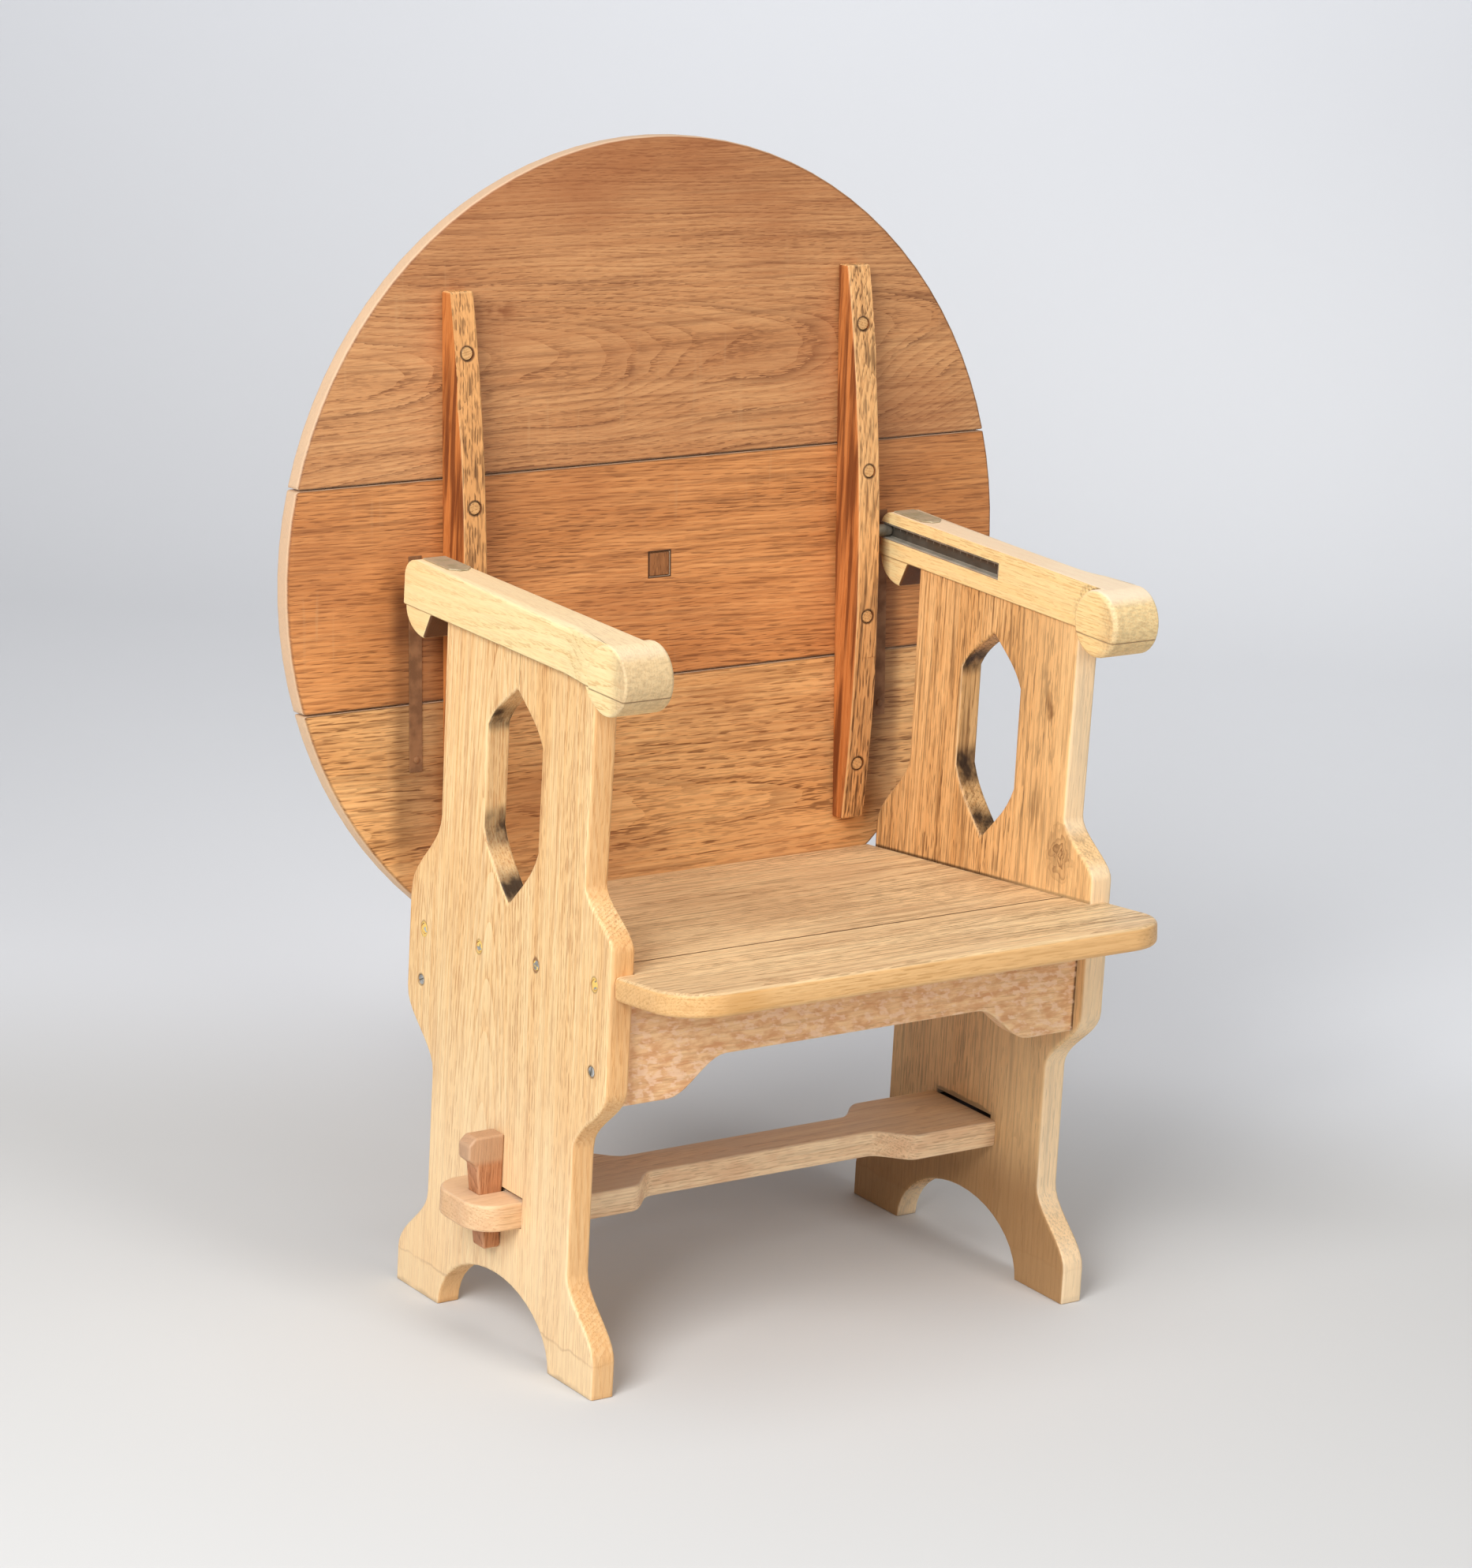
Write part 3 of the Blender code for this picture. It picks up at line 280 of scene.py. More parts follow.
def panel_marks(side, knot):
    """The marks of one panel, whose side is -1 on the left: a scrub line above the feet, dirt in
    the hand hole, dirt and a painted shade line along the seat, painted shade in the mortise,
    dirt round the screws and a split at the top. Painted light and shade make the front faces
    paler on the right panel and darker on the left, and the right panel paler towards its front,
    paler on its inner face under the seat and darker at its foot. knot gives the right panel its
    knots and this painted light and shade."""

    def marks(colour, at, face):
        edge_on = fade(abs(face["x"]), 0.8, 0.5)
        inner = fade(face["x"] * -side, 0.5, 0.8)
        outer = fade(face["x"] * side, 0.5, 0.8)
        front = fade(face["y"], -0.5, -0.8)
        ragged = grit(at["x"] * 60.0, at["y"] * 60.0, at["z"] * 60.0) - 0.5
        smoke = fade(grit(at["x"] * 60.0, at["y"] * 50.0, at["z"] * 40.0, 4.0), 0.36, 0.62)
        streaks = grit(at["x"] * 90.0, at["y"] * 230.0, at["z"] * 20.0)
        patches = grit(at["x"] * 22.0, at["y"] * 22.0, at["z"] * 22.0, 3.0)

        tide = at["z"] + ragged * 0.010
        scrubbed = fade(tide, SCRUB_LINE, SCRUB_LINE - 0.003)
        colour = tint(scrubbed * 0.35, colour, srgb(236, 206, 158))
        line = near(tide, SCRUB_LINE, 0.002) * fade(patches, 0.3, 0.6)
        colour = tint(line * 0.6, colour, srgb(164, 112, 64))
        sole = fade(tide, 0.006, 0.001) * fade(patches, 0.2, 0.6)
        colour = tint(sole * 0.7, colour, srgb(124, 88, 54))

        hole = near(at["y"], PANEL_MIDDLE, 0.095) * near(at["z"], HOLE_MIDDLE, 0.20)
        inside = edge_on * fade(hole, 0.02, 0.10)
        spots = sum(near(at["z"], middle, half) for middle, half in HOLE_DIRT)
        colour = tint(inside * 0.25, colour, srgb(176, 124, 66))
        handled = inside * (smoke * 0.5 + 0.5) * fade(spots, 0.0, 0.8)
        colour = tint(handled * 0.95, colour, srgb(46, 27, 12))

        # Dirt streaks and painted shade just above the seat, and a thin painted shade line where
        # the seat meets the panel.
        seat_line = at["z"] + (at["y"] - PANEL_MIDDLE) * SEAT_RAKE - SEAT_TOP
        above = inner * fade(seat_line, -0.004, 0.0)
        seat_dirt_and_shade = above * fade(seat_line, 0.040, 0.0) * fade(streaks, 0.46, 0.70)
        colour = tint(seat_dirt_and_shade * 0.5, colour, srgb(96, 58, 26))
        colour = tint(above * fade(seat_line, 0.0040, 0.0015) * 0.85, colour, srgb(62, 36, 16))

        # Painted shade: the mortise's inner walls and a strip round its top on the inner face are
        # painted almost black.
        gap = near(at["y"], PANEL_MIDDLE, MORTISE_HALF * 1.6)
        gap = gap * fade(at["z"], MORTISE_LOW - 0.001, MORTISE_LOW)
        gap = fade(gap, 0.2, 0.4) * fade(tide, MORTISE_HIGH + 0.0040, MORTISE_HIGH + 0.0015)
        cheek = edge_on * fade(at["z"], 0.115, 0.120) * fade(at["x"] * side, 0.278, 0.270)
        colour = tint(gap * (inner * 0.9 + cheek), colour, srgb(34, 21, 12))

        for number in "1234":
            low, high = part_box("seat_screw_right_" + number)
            off = (at["y"] - (low.y + high.y) / 2) / FILLER_WIDE
            rise = (at["z"] - (low.z + high.z) / 2) / FILLER_HIGH
            away = (off * off + rise * rise) ** 0.5 + ragged * 0.6
            filler = srgb(150, 106, 68) if number == BARED_SCREW else srgb(240, 200, 106)
            colour = tint(fade(away, 1.05, 0.90) * outer * 0.9, colour, filler)
            border = near(away, 1.0, 0.22) * outer * fade(smoke, 0.0, 1.0)
            colour = tint(border * 0.5, colour, srgb(126, 86, 46))
        for number in "12":
            low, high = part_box("rail_screw_right_" + number)
            off = at["y"] - (low.y + high.y) / 2
            rise = at["z"] - (low.z + high.z) / 2
            away = (off * off + rise * rise) ** 0.5 + ragged * 0.002
            border = near(away, (high.z - low.z) / 2, 0.0022) * outer
            colour = tint(border * 0.75, colour, srgb(84, 58, 36))

        if knot:
            # Painted light: the right panel grows paler towards its front.
            colour = tint(fade(at["y"], 0.03, -0.11) * 0.4, colour, srgb(252, 214, 156))
            across = (at["y"] - KNOT_Y) / 0.009 + (smoke - 0.5) * 0.9 + ragged * 2.0
            up = (at["z"] - KNOT_Z) / 0.016 + ragged * 1.4
            away = (across * across + up * up) ** 0.5
            whorl = fade(away, 2.6, 0.4) * (fade(fraction(away * 2.2), 0.2, 1.0) * 0.5 + 0.3)
            colour = tint(whorl, colour, srgb(104, 62, 28))
            flecks = near(at["y"], FLECK_Y, 0.020) * near(at["z"], FLECK_Z, 0.045)
            flecks = flecks * fade(streaks, 0.42, 0.58)
            colour = tint(flecks * 0.55, colour, srgb(92, 56, 26))
            across = (at["y"] - BUD_Y) / 0.006 + ragged * 2.4
            up = (at["z"] - BUD_Z) / 0.013 + (smoke - 0.5) * 1.2
            bud = fade((across * across + up * up) ** 0.5, 1.6, 0.4)
            colour = tint(bud * (smoke * 0.4 + 0.45), colour, srgb(112, 68, 32))
            # Painted light under the seat and painted shade at the foot, on the inner face.
            colour = tint(fade(at["z"], 0.37, 0.34) * inner * 0.35, colour, srgb(254, 222, 174))
            colour = tint(fade(at["z"], 0.18, 0.08) * inner * 0.8, colour, srgb(152, 108, 62))
            # Painted light: front-facing faces are paler.
            colour = tint(front * (1.0 - inside) * 0.5, colour, srgb(254, 232, 198))
        else:
            # Painted shade: front-facing faces are darker.
            colour = tint(front * (1.0 - inside) * 0.5, colour, srgb(224, 164, 102))
            colour = tint(fade(at["z"], 0.36, 0.12) * outer * 0.4, colour, srgb(254, 228, 188))

        split = at["y"] - PANEL_MIDDLE + ragged * 0.003
        start = 0.034 if knot else 0.001
        crack = near(split, -start, 0.0006) * fade(at["z"], SPLIT_FOOT, SPLIT_FOOT + 0.006)
        return tint(crack * 0.85, colour, srgb(60, 38, 20))

    return marks


LEFT_OAK = oak("left_panel_oak", "zyx", srgb(254, 222, 168), srgb(240, 186, 120),
               srgb(168, 98, 46), srgb(253, 226, 178), pith=(0.045, -0.345), taper=0.045,
               dashes=0.75, dash=(0.0007, 0.008), veins=0.26, cloud=0.5, wear=0.15,
               marks=panel_marks(-1, False))
RIGHT_OAK = oak("right_panel_oak", "zyx", srgb(254, 208, 146), srgb(216, 158, 94),
                srgb(88, 50, 20), srgb(248, 212, 156), pith=(-0.075, 0.330), spacing=0.0038,
                taper=0.02, dashes=1.0, dash=(0.0008, 0.009), veins=0.6, cloud=0.6, wear=0.15,
                seed=7.0, marks=panel_marks(1, True))
for word, finish in (("left", LEFT_OAK), ("right", RIGHT_OAK)):
    panel = eased("side_panel_" + word, 0.0035, panel_edges)
    dressed(panel, finish, "base", "pale_oak", "side_panel_" + word)
    for number in "12":
        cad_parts["arm_dowel_" + word + "_" + number].data.materials[0] = finish


# Screws through the panels.
# Old slotted steel screws hold the rails. Those of the seat are sunk, with yellow filler over
# their heads, and on some the filler has broken away from the steel.
def metal(name, clean, dark, rough, shine=0.5, filler=None, loss=(0.5, 0.6), marks=None):
    """Dull, darkened steel; with a filler colour it is steel under broken filler. shine is how
    metallic it is where clean, and marks adds further colour: on the channel, painted shade and
    painted light."""
    material = bpy.data.materials.new(name)
    material.use_nodes = True
    tree = material.node_tree
    shader = tree.nodes["Principled BSDF"]
    place = Wire(tree, tree.nodes.new("ShaderNodeTexCoord").outputs["Object"])
    at = [place.node("SeparateXYZ", {0: place}, out=i) for i in range(3)]
    patches = grit(*[axis * 60.0 for axis in at], 3.0)
    scratches = grit(at[0] * 900.0, at[1] * 60.0, at[2] * 900.0)
    colour = tint(fade(patches, 0.38, 0.66), clean, dark)
    colour = tint(fade(scratches, 0.58, 0.75) * 0.4, colour, clean)
    if marks:
        colour = marks(colour, at)
    metallic = (1.0 - fade(patches, 0.40, 0.70) * 0.6) * shine
    rough_value = rough + fade(patches, 0.3, 0.7) * 0.25
    if filler:
        cover = fade(grit(*[axis * 210.0 for axis in at]), *loss)
        colour = tint(cover, filler, colour)
        metallic = metallic * cover
        rough_value = 0.7 - cover * 0.25
    bump = place.node("Bump", {"Height": patches, "Strength": 0.4, "Distance": 0.0004})
    tree.links.new(colour.socket, shader.inputs["Base Color"])
    tree.links.new(metallic.socket, shader.inputs["Metallic"])
    tree.links.new(rough_value.socket, shader.inputs["Roughness"])
    tree.links.new(bump.socket, shader.inputs["Normal"])
    return material


BRIGHT_STEEL = srgb(206, 206, 202)
SUNK_STEEL = srgb(130, 122, 108)
FILLER = srgb(244, 204, 108)
SCREW_STEEL = metal("screw_steel", BRIGHT_STEEL, srgb(120, 114, 104), 0.35)
FILLED_STEEL = metal("filled_screw_steel", BRIGHT_STEEL, SUNK_STEEL, 0.35, filler=FILLER,
                     loss=(0.57, 0.63))
BARED_STEEL = metal("bared_screw_steel", BRIGHT_STEEL, SUNK_STEEL, 0.35, filler=FILLER,
                    loss=(0.40, 0.46))
SLOT_WIDTH = 0.0014
SLOT_DEPTH = 0.0012
SLOT_LENGTH = 0.02


def head_rim(middle, length):
    """Round only the rim of a screw's head, at the panel's outer face."""
    return 1.0 if abs(abs(middle.x) - panel_high.x) < 0.0005 else 0.0


def slotted(piece, turn):
    """Cuts a driver's slot across a screw's head."""
    low = Vector(piece.bound_box[0])
    high = Vector(piece.bound_box[6])
    middle = (low + high) / 2
    side = 1 if middle.x > 0 else -1
    bpy.ops.object.select_all(action="DESELECT")
    bpy.ops.mesh.primitive_cube_add(size=1.0)
    cutter = bpy.context.object
    place = Matrix.Translation((side * panel_high.x, middle.y, middle.z))
    size = Matrix.Diagonal((2 * SLOT_DEPTH, SLOT_WIDTH, SLOT_LENGTH, 1.0))
    cutter.matrix_world = place @ Matrix.Rotation(turn, 4, "X") @ size
    bpy.context.view_layer.objects.active = piece
    slot = piece.modifiers.new("slot", "BOOLEAN")
    slot.object = cutter
    bpy.ops.object.modifier_apply(modifier="slot")
    bpy.data.objects.remove(cutter)


for word in ("left", "right"):
    for number, turn in (("1", 0.2), ("2", 1.1)):
        node = "rail_screw_" + word + "_" + number
        screw = eased(node, 0.0008, head_rim, 2)
        slotted(screw, turn)
        dressed(screw, SCREW_STEEL, "base", "steel", node)
    for number in "1234":
        node = "seat_screw_" + word + "_" + number
        screw = eased(node, 0.0012, head_rim)
        finish = BARED_STEEL if number == BARED_SCREW else FILLED_STEEL
        dressed(screw, finish, "base", "filled_screw", node)


# Arms.
# Each is a thick oak rail whose front is turned down into a scroll, with the scroll's lower
# half and a small rear block glued on beneath. Hands have rounded them and worn them pale.
arm_low, arm_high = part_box("arm_right")
SCROLL_RADIUS = 0.032
SCROLL_Y = arm_low.y + SCROLL_RADIUS
SCROLL_Z = arm_high.z - SCROLL_RADIUS
ARM_SIDE = 0.289
ARM_INSIDE = 0.255
GROOVE_LOW = arm_high.z - 0.031
GROOVE_HIGH = arm_high.z - 0.009


def scroll_rims(out):
    """The inner rim of a scroll's round end is worn most, the outer one half as much."""
    return 0.60 if out < ARM_INSIDE - 0.005 else 0.30 if out > arm_high.x - 0.001 else 0.0


def arm_edges(middle, length):
    """The scroll's rims and the outer top arris are worn; glue lines and the groove stay crisp."""
    out = abs(middle.x)
    grooved = GROOVE_LOW < middle.z < GROOVE_HIGH and middle.y > SCROLL_Y + 0.05
    glued = middle.z < arm_low.z + 0.0005
    if length < CURVE_FACET or glued or grooved and out < ARM_INSIDE + 0.012:
        return 0.0
    if middle.y < SCROLL_Y + SCROLL_RADIUS:
        return scroll_rims(out)
    if middle.y > arm_high.y - 0.020:
        return 0.45
    fading = min((middle.y - SCROLL_Y - SCROLL_RADIUS) / 0.030, 1.0)
    return (0.95 if out > ARM_SIDE - 0.004 else 0.40) * fading


def block_edges(middle, length):
    """A glued block's free rims are rounded; its glue line and the corners behind them are not."""
    if middle.z > arm_low.z - 0.0008:
        return 0.0
    return 0.35 if middle.y > 0.0 else scroll_rims(abs(middle.x))


def arm_marks(colour, at, face):
    """The handled front of the scroll is greyed, dirt lies beside its inner end and in the glue
    line, a painted shade line rings the scroll's inner end, the rear block's front is painted
    dark as shade under the arm, and the arm's top is rubbed pale."""
    out = abs(at["x"])
    leftward = fade(at["x"], 0.1, -0.1)
    front = fade(at["y"], SCROLL_Y - 0.002, SCROLL_Y - 0.026)
    dirt = fade(grit(at["x"] * 160.0, at["y"] * 320.0, at["z"] * 320.0, 4.0), 0.40, 0.66)
    colour = tint(front * (leftward * 0.3 + 0.35), colour, srgb(206, 172, 130))
    colour = tint(front * dirt * 0.3, colour, srgb(150, 124, 92))
    reach = at["y"] - SCROLL_Y
    rise = at["z"] - SCROLL_Z
    away = (reach * reach + rise * rise) ** 0.5
    flat = fade(abs(face["x"]), 0.7, 0.9)
    beside = fade(away, SCROLL_RADIUS + 0.018, SCROLL_RADIUS) * flat
    beside = beside * fade(out, ARM_INSIDE + 0.003, ARM_INSIDE + 0.001)
    beside = beside * fade(out, ARM_INSIDE - 0.003, ARM_INSIDE - 0.001)
    colour = tint(beside * fade(dirt, 0.0, 0.8) * 0.6, colour, srgb(112, 88, 72))
    # Painted shade: a dark line round the scroll's inner end, where it meets the arm.
    colour = tint(beside * near(away, SCROLL_RADIUS, 0.003) * 0.7, colour, srgb(84, 60, 42))
    colour = tint(near(at["z"], arm_low.z, 0.0012) * 0.7, colour, srgb(120, 80, 44))
    # Painted shade: the rear block's front face, shadowed by the arm above.
    block = fade(at["y"], 0.10, 0.12) * fade(at["z"], arm_low.z, arm_low.z - 0.002)
    colour = tint(block * fade(face["y"], -0.3, -0.6), colour, srgb(104, 66, 38))
    upper = fade(face["z"], 0.6, 0.9)
    colour = tint(upper * (0.7 - leftward * 0.35), colour, srgb(248, 226, 202))
    behind = fade(at["y"], SCROLL_Y + 0.06, SCROLL_Y + 0.14)
    return tint(upper * behind * 0.15, colour, srgb(224, 178, 122))


ARM_TONES = {
    "left": (srgb(254, 232, 176), srgb(250, 214, 150)),
    "right": (srgb(254, 232, 172), srgb(253, 212, 144)),
}
ARM_ROUNDING = 0.0085
for word, seed in (("left", 1.0), ("right", 4.0)):
    finish = oak("arm_oak_" + word, "yxz", *ARM_TONES[word], srgb(196, 138, 78),
                 srgb(254, 234, 186), pith=(0.24, 0.58), taper=0.02, ringing=0.35, dashes=0.5,
                 veins=0.12, cloud=0.25, seed=seed, marks=arm_marks)
    arm = eased("arm_" + word, ARM_ROUNDING, arm_edges, 4)
    dressed(arm, finish, "base", "pale_oak", "arm_" + word)
    for node in ("arm_front_scroll_" + word, "arm_rear_block_" + word):
        block = eased(node, ARM_ROUNDING, block_edges, 4)
        dressed(block, finish, "base", "pale_oak", node)


# Channels and plates in the arms.
# A rough-cut steel channel is let into each arm's inner side as a track for the pivot, and a
# thin plate with clipped corners is nailed on the arm's top, where the table's strips bear.
pin_low, pin_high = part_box("pivot_stud_left")
PIN_Y = (pin_low.y + pin_high.y) / 2
PIN_Z = (pin_low.z + pin_high.z) / 2
NICK_GAP = 0.011


def channel_marks(colour, at):
    """Painted shade darkens the channel's back, painted light brightens its lower lip, and
    bright nicks along the back are painted glints.
    """
    # Painted shade in the channel's recess.
    back = fade(abs(at[0]), ARM_INSIDE + 0.004, ARM_INSIDE + 0.007)
    colour = tint(back, colour, srgb(94, 88, 78))
    # Painted glints on the nicks.
    nicks = near(fraction(at[1] / NICK_GAP), 0.5, 0.10) * fade(at[2], PIN_Z, PIN_Z + 0.003)
    colour = tint(nicks * back * 0.6, colour, srgb(190, 182, 166))
    # Painted light on the lower lip.
    lip = fade(at[2], PIN_Z - 0.0055, PIN_Z - 0.0065)
    return tint(lip * 0.8, colour, srgb(196, 190, 174))


CHANNEL_STEEL = metal("channel_steel", srgb(160, 154, 140), srgb(112, 102, 86), 0.42,
                      marks=channel_marks)
PLATE_STEEL = metal("plate_steel", srgb(206, 194, 164), srgb(166, 150, 116), 0.40)


def all_edges(middle, length):
    """Every sharp edge is rounded alike."""
    return 1.0


for word in ("left", "right"):
    channel = eased("arm_channel_" + word, 0.0004, all_edges, 2)
    dressed(channel, CHANNEL_STEEL, "base", "steel", "arm_channel_" + word)
    plate = eased("arm_plate_" + word, 0.0004, all_edges, 2)
    dressed(plate, PLATE_STEEL, "base", "steel", "arm_plate_" + word)


# Seat.
# Two oak boards between the panels, raked down to the back. The front one has ears that pass
# before the panels and rounded corners; sitting has greyed it and polished the front edge.
SEAT_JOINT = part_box("seat_front_board")[1].y
SEAT_NOSE = PANEL_MIDDLE - 0.178


def seat_edges(middle, length):
    """The free front edge is well rounded; the joint and the ends against the panels are not."""
    return 1.0 if length >= CURVE_FACET and middle.y < SEAT_NOSE else 0.0


def seat_marks(colour, at, face):
    """A golden front edge, dull smears behind it, and grime in the joint between the boards."""
    front = fade(face["z"], 0.85, 0.45)
    colour = tint(front * 0.7, colour, srgb(226, 170, 102))
    smear = fade(grit(at["x"] * 5.0, at["y"] * 9.0, at["z"] * 9.0, 4.0), 0.42, 0.68)
    colour = tint(smear * 0.35 * (1.0 - front), colour, srgb(196, 154, 112))
    corner = near(at["x"], -0.215, 0.05) * front
    colour = tint(corner * 0.4, colour, srgb(206, 144, 64))
    joint = fade(near(at["y"], SEAT_JOINT, 0.0024), 0.1, 0.6) * (1.0 - front)
    return tint(joint, colour, srgb(58, 36, 20))


SEAT_TONES = (srgb(254, 226, 176), srgb(232, 190, 140), srgb(108, 74, 44), srgb(250, 214, 158))
for word, heart, seed in (("front", (-0.27, 0.30), 2.0), ("rear", (0.06, 0.28), 5.0)):
    finish = oak("seat_oak_" + word, "xyz", *SEAT_TONES, pith=heart, taper=0.015, bold=0.4,
                 dashes=1.0, dash=(0.0007, 0.009), veins=0.4, seed=seed, rough=0.48,
                 marks=seat_marks)
    board = eased("seat_" + word + "_board", 0.0050, seat_edges)
    dressed(board, finish, "base", "seat_oak", "seat_" + word + "_board")


# Rails under the seat.
# A quarter-sawn oak apron with a flat arch, mottled with pale ray flecks under worn pink-brown
# stain, and a plain rail behind.
RAIL_TOP = 0.335
RAIL_END = 0.255


def rail_edges(middle, length):
    """Lower edges are eased; what meets the panels and the seat is left crisp."""
    joined = middle.z > RAIL_TOP or abs(middle.x) > RAIL_END
    return 0.0 if length < CURVE_FACET or joined else 1.0


def rail_marks(colour, at, face):
    """Ray flecks, short pale dashes scattered over the stain, and dirt and painted shade at the
    panels.
    """
    stain = fade(grit(at["x"] * 60.0, at["y"] * 120.0, at["z"] * 130.0, 5.0), 0.40, 0.66)
    colour = tint(stain * 0.7, colour, srgb(214, 150, 100))
    # Dirt and painted shade where the rail meets the panels.
    ends = fade(abs(at["x"]), RAIL_END - 0.0015, RAIL_END + 0.0010)
    colour = tint(ends * 0.8, colour, srgb(70, 44, 26))
    rays = grit(at["x"] * 110.0 + at["z"] * 60.0, at["y"] * 90.0, at["z"] * 190.0)
    return tint(fade(rays, 0.50, 0.64) * 0.6, colour, srgb(250, 214, 180))


for word, seed in (("front_apron", 3.0), ("rear_rail", 8.0)):
    finish = oak("rail_oak_" + word, "xzy", srgb(252, 212, 160), srgb(232, 180, 128),
                 srgb(160, 104, 64), srgb(250, 218, 172), pith=(0.10, -0.9), taper=0.01,
                 ringing=0.35, dashes=0.4, seed=seed, marks=rail_marks)
    dressed(eased(word, 0.0025, rail_edges), finish, "base", "rosy_oak", word)


# Stretcher and keys.
# A flat oak stretcher, narrowed between its ends, runs through both panels; round-ended tenons
# are locked outside by tapered keys with nibbed heads. It is browner on top, where feet rest.
SHOULDER_NEAR = 0.2560
SHOULDER_FAR = 0.2580
KEY_SLOT_NEAR = 0.2555
KEY_SLOT_FAR = 0.310
KEY_SLOT_HALF = 0.012
KEY_HEAD = 0.176


def stretcher_edges(middle, length):
    """Arrises are eased all along, but the key slots and shoulders stay crisp."""
    out = abs(middle.x)
    slot = KEY_SLOT_NEAR < out < KEY_SLOT_FAR and abs(middle.y - PANEL_MIDDLE) < KEY_SLOT_HALF
    return 0.0 if slot or SHOULDER_NEAR < out < SHOULDER_FAR else 1.0


def stretcher_marks(colour, at, face):
    """The top has greyed under boots, the edges keep a pink-brown stain, the part inside each panel
    is painted near black as shade in the mortise, and the tenons are warm."""
    upper = fade(face["z"], 0.5, 0.9)
    wear = fade(grit(at["x"] * 8.0, at["y"] * 26.0, at["z"] * 26.0, 4.0), 0.34, 0.66)
    colour = tint(upper * (wear * 0.35 + 0.35), colour, srgb(216, 196, 172))
    out = abs(at["x"])
    # Painted shade: the stretcher within each panel's mortise.
    hidden = fade(out, SHOULDER_NEAR + 0.0005, SHOULDER_FAR) * fade(out, 0.2760, 0.2700)
    colour = tint(hidden, colour, srgb(30, 18, 10))
    colour = tint(fade(out, 0.280, 0.284) * 0.45, colour, srgb(232, 180, 128))
    stain = fade(grit(at["x"] * 26.0, at["y"] * 40.0, at["z"] * 60.0, 3.0), 0.42, 0.62)
    return tint((1.0 - upper) * stain * 0.35, colour, srgb(216, 164, 122))


def key_marks(colour, at, face):
    """A grey, weathered head over a red-brown shank."""
    return tint(fade(at["z"], KEY_HEAD, KEY_HEAD + 0.008) * 0.6, colour, srgb(206, 172, 138))


STRETCHER_OAK = oak("stretcher_oak", "xyz", srgb(254, 226, 184), srgb(232, 190, 146),
                    srgb(120, 80, 50), srgb(254, 228, 188), pith=(0.02, 0.02), taper=0.01,
                    dashes=0.55, dash=(0.0007, 0.008), cloud=0.6, seed=6.0,
                    marks=stretcher_marks)
KEY_OAK = oak("key_oak", "zxy", srgb(212, 154, 112), srgb(180, 118, 78), srgb(116, 70, 42),
              srgb(224, 178, 138), pith=(0.1, 0.1), ringing=0.6, dashes=0.7, seed=9.0,
              marks=key_marks)
stretcher = eased("stretcher", 0.0030, stretcher_edges)
dressed(stretcher, STRETCHER_OAK, "base", "rosy_oak", "stretcher")
for word in ("left", "right"):
    key = eased("wedge_" + word, 0.0025, all_edges)
    dressed(key, KEY_OAK, "base", "rosy_oak", "wedge_" + word)


# Pivot studs.
# Collared steel studs that join the battens to the arms' channels and carry the top as it tips.
for word in ("left", "right"):
    stud = eased("pivot_stud_" + word, 0.0006, all_edges, 2)
    dressed(stud, CHANNEL_STEEL, "pivot_studs", "steel", "pivot_stud_" + word)


# Round top.
# Three oak boards, seen here from below: browner than the base, with open dark joints, a
# cathedral figure in the upper one, a pale sanded rim and a square plug near the middle.
LEAN = math.radians(4.5)
TOP_CENTRE = (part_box("top_board_upper")[1].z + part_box("top_board_lower")[0].z) / 2
RIM_REACH = 0.395
PEG_FACET = 0.0035


def board_edges(middle, length):
    """The round rim is softened; the joints keep a fine arris, and the peg holes none."""
    if length < PEG_FACET:
        return 0.0
    reach = (middle.x ** 2 + (middle.z - TOP_CENTRE) ** 2) ** 0.5
    return 1.0 if reach > RIM_REACH else 0.2


plug_low, plug_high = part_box("centre_plug")
plug_middle = (plug_low + plug_high) / 2
PLUG_HALF = 0.0115
UPPER_JOINT = 0.096
LOWER_JOINT = -0.115
TOP_UP = Vector((0.0, math.sin(LEAN), math.cos(LEAN)))
CENTRE_UP = plug_middle.dot(TOP_UP) + 0.006
STAIN_X, STAIN_Z = -0.177, 0.926


def up_top(at):
    """How far up the leaning top a point lies."""
    return at["y"] * TOP_UP.y + at["z"] * TOP_UP.z


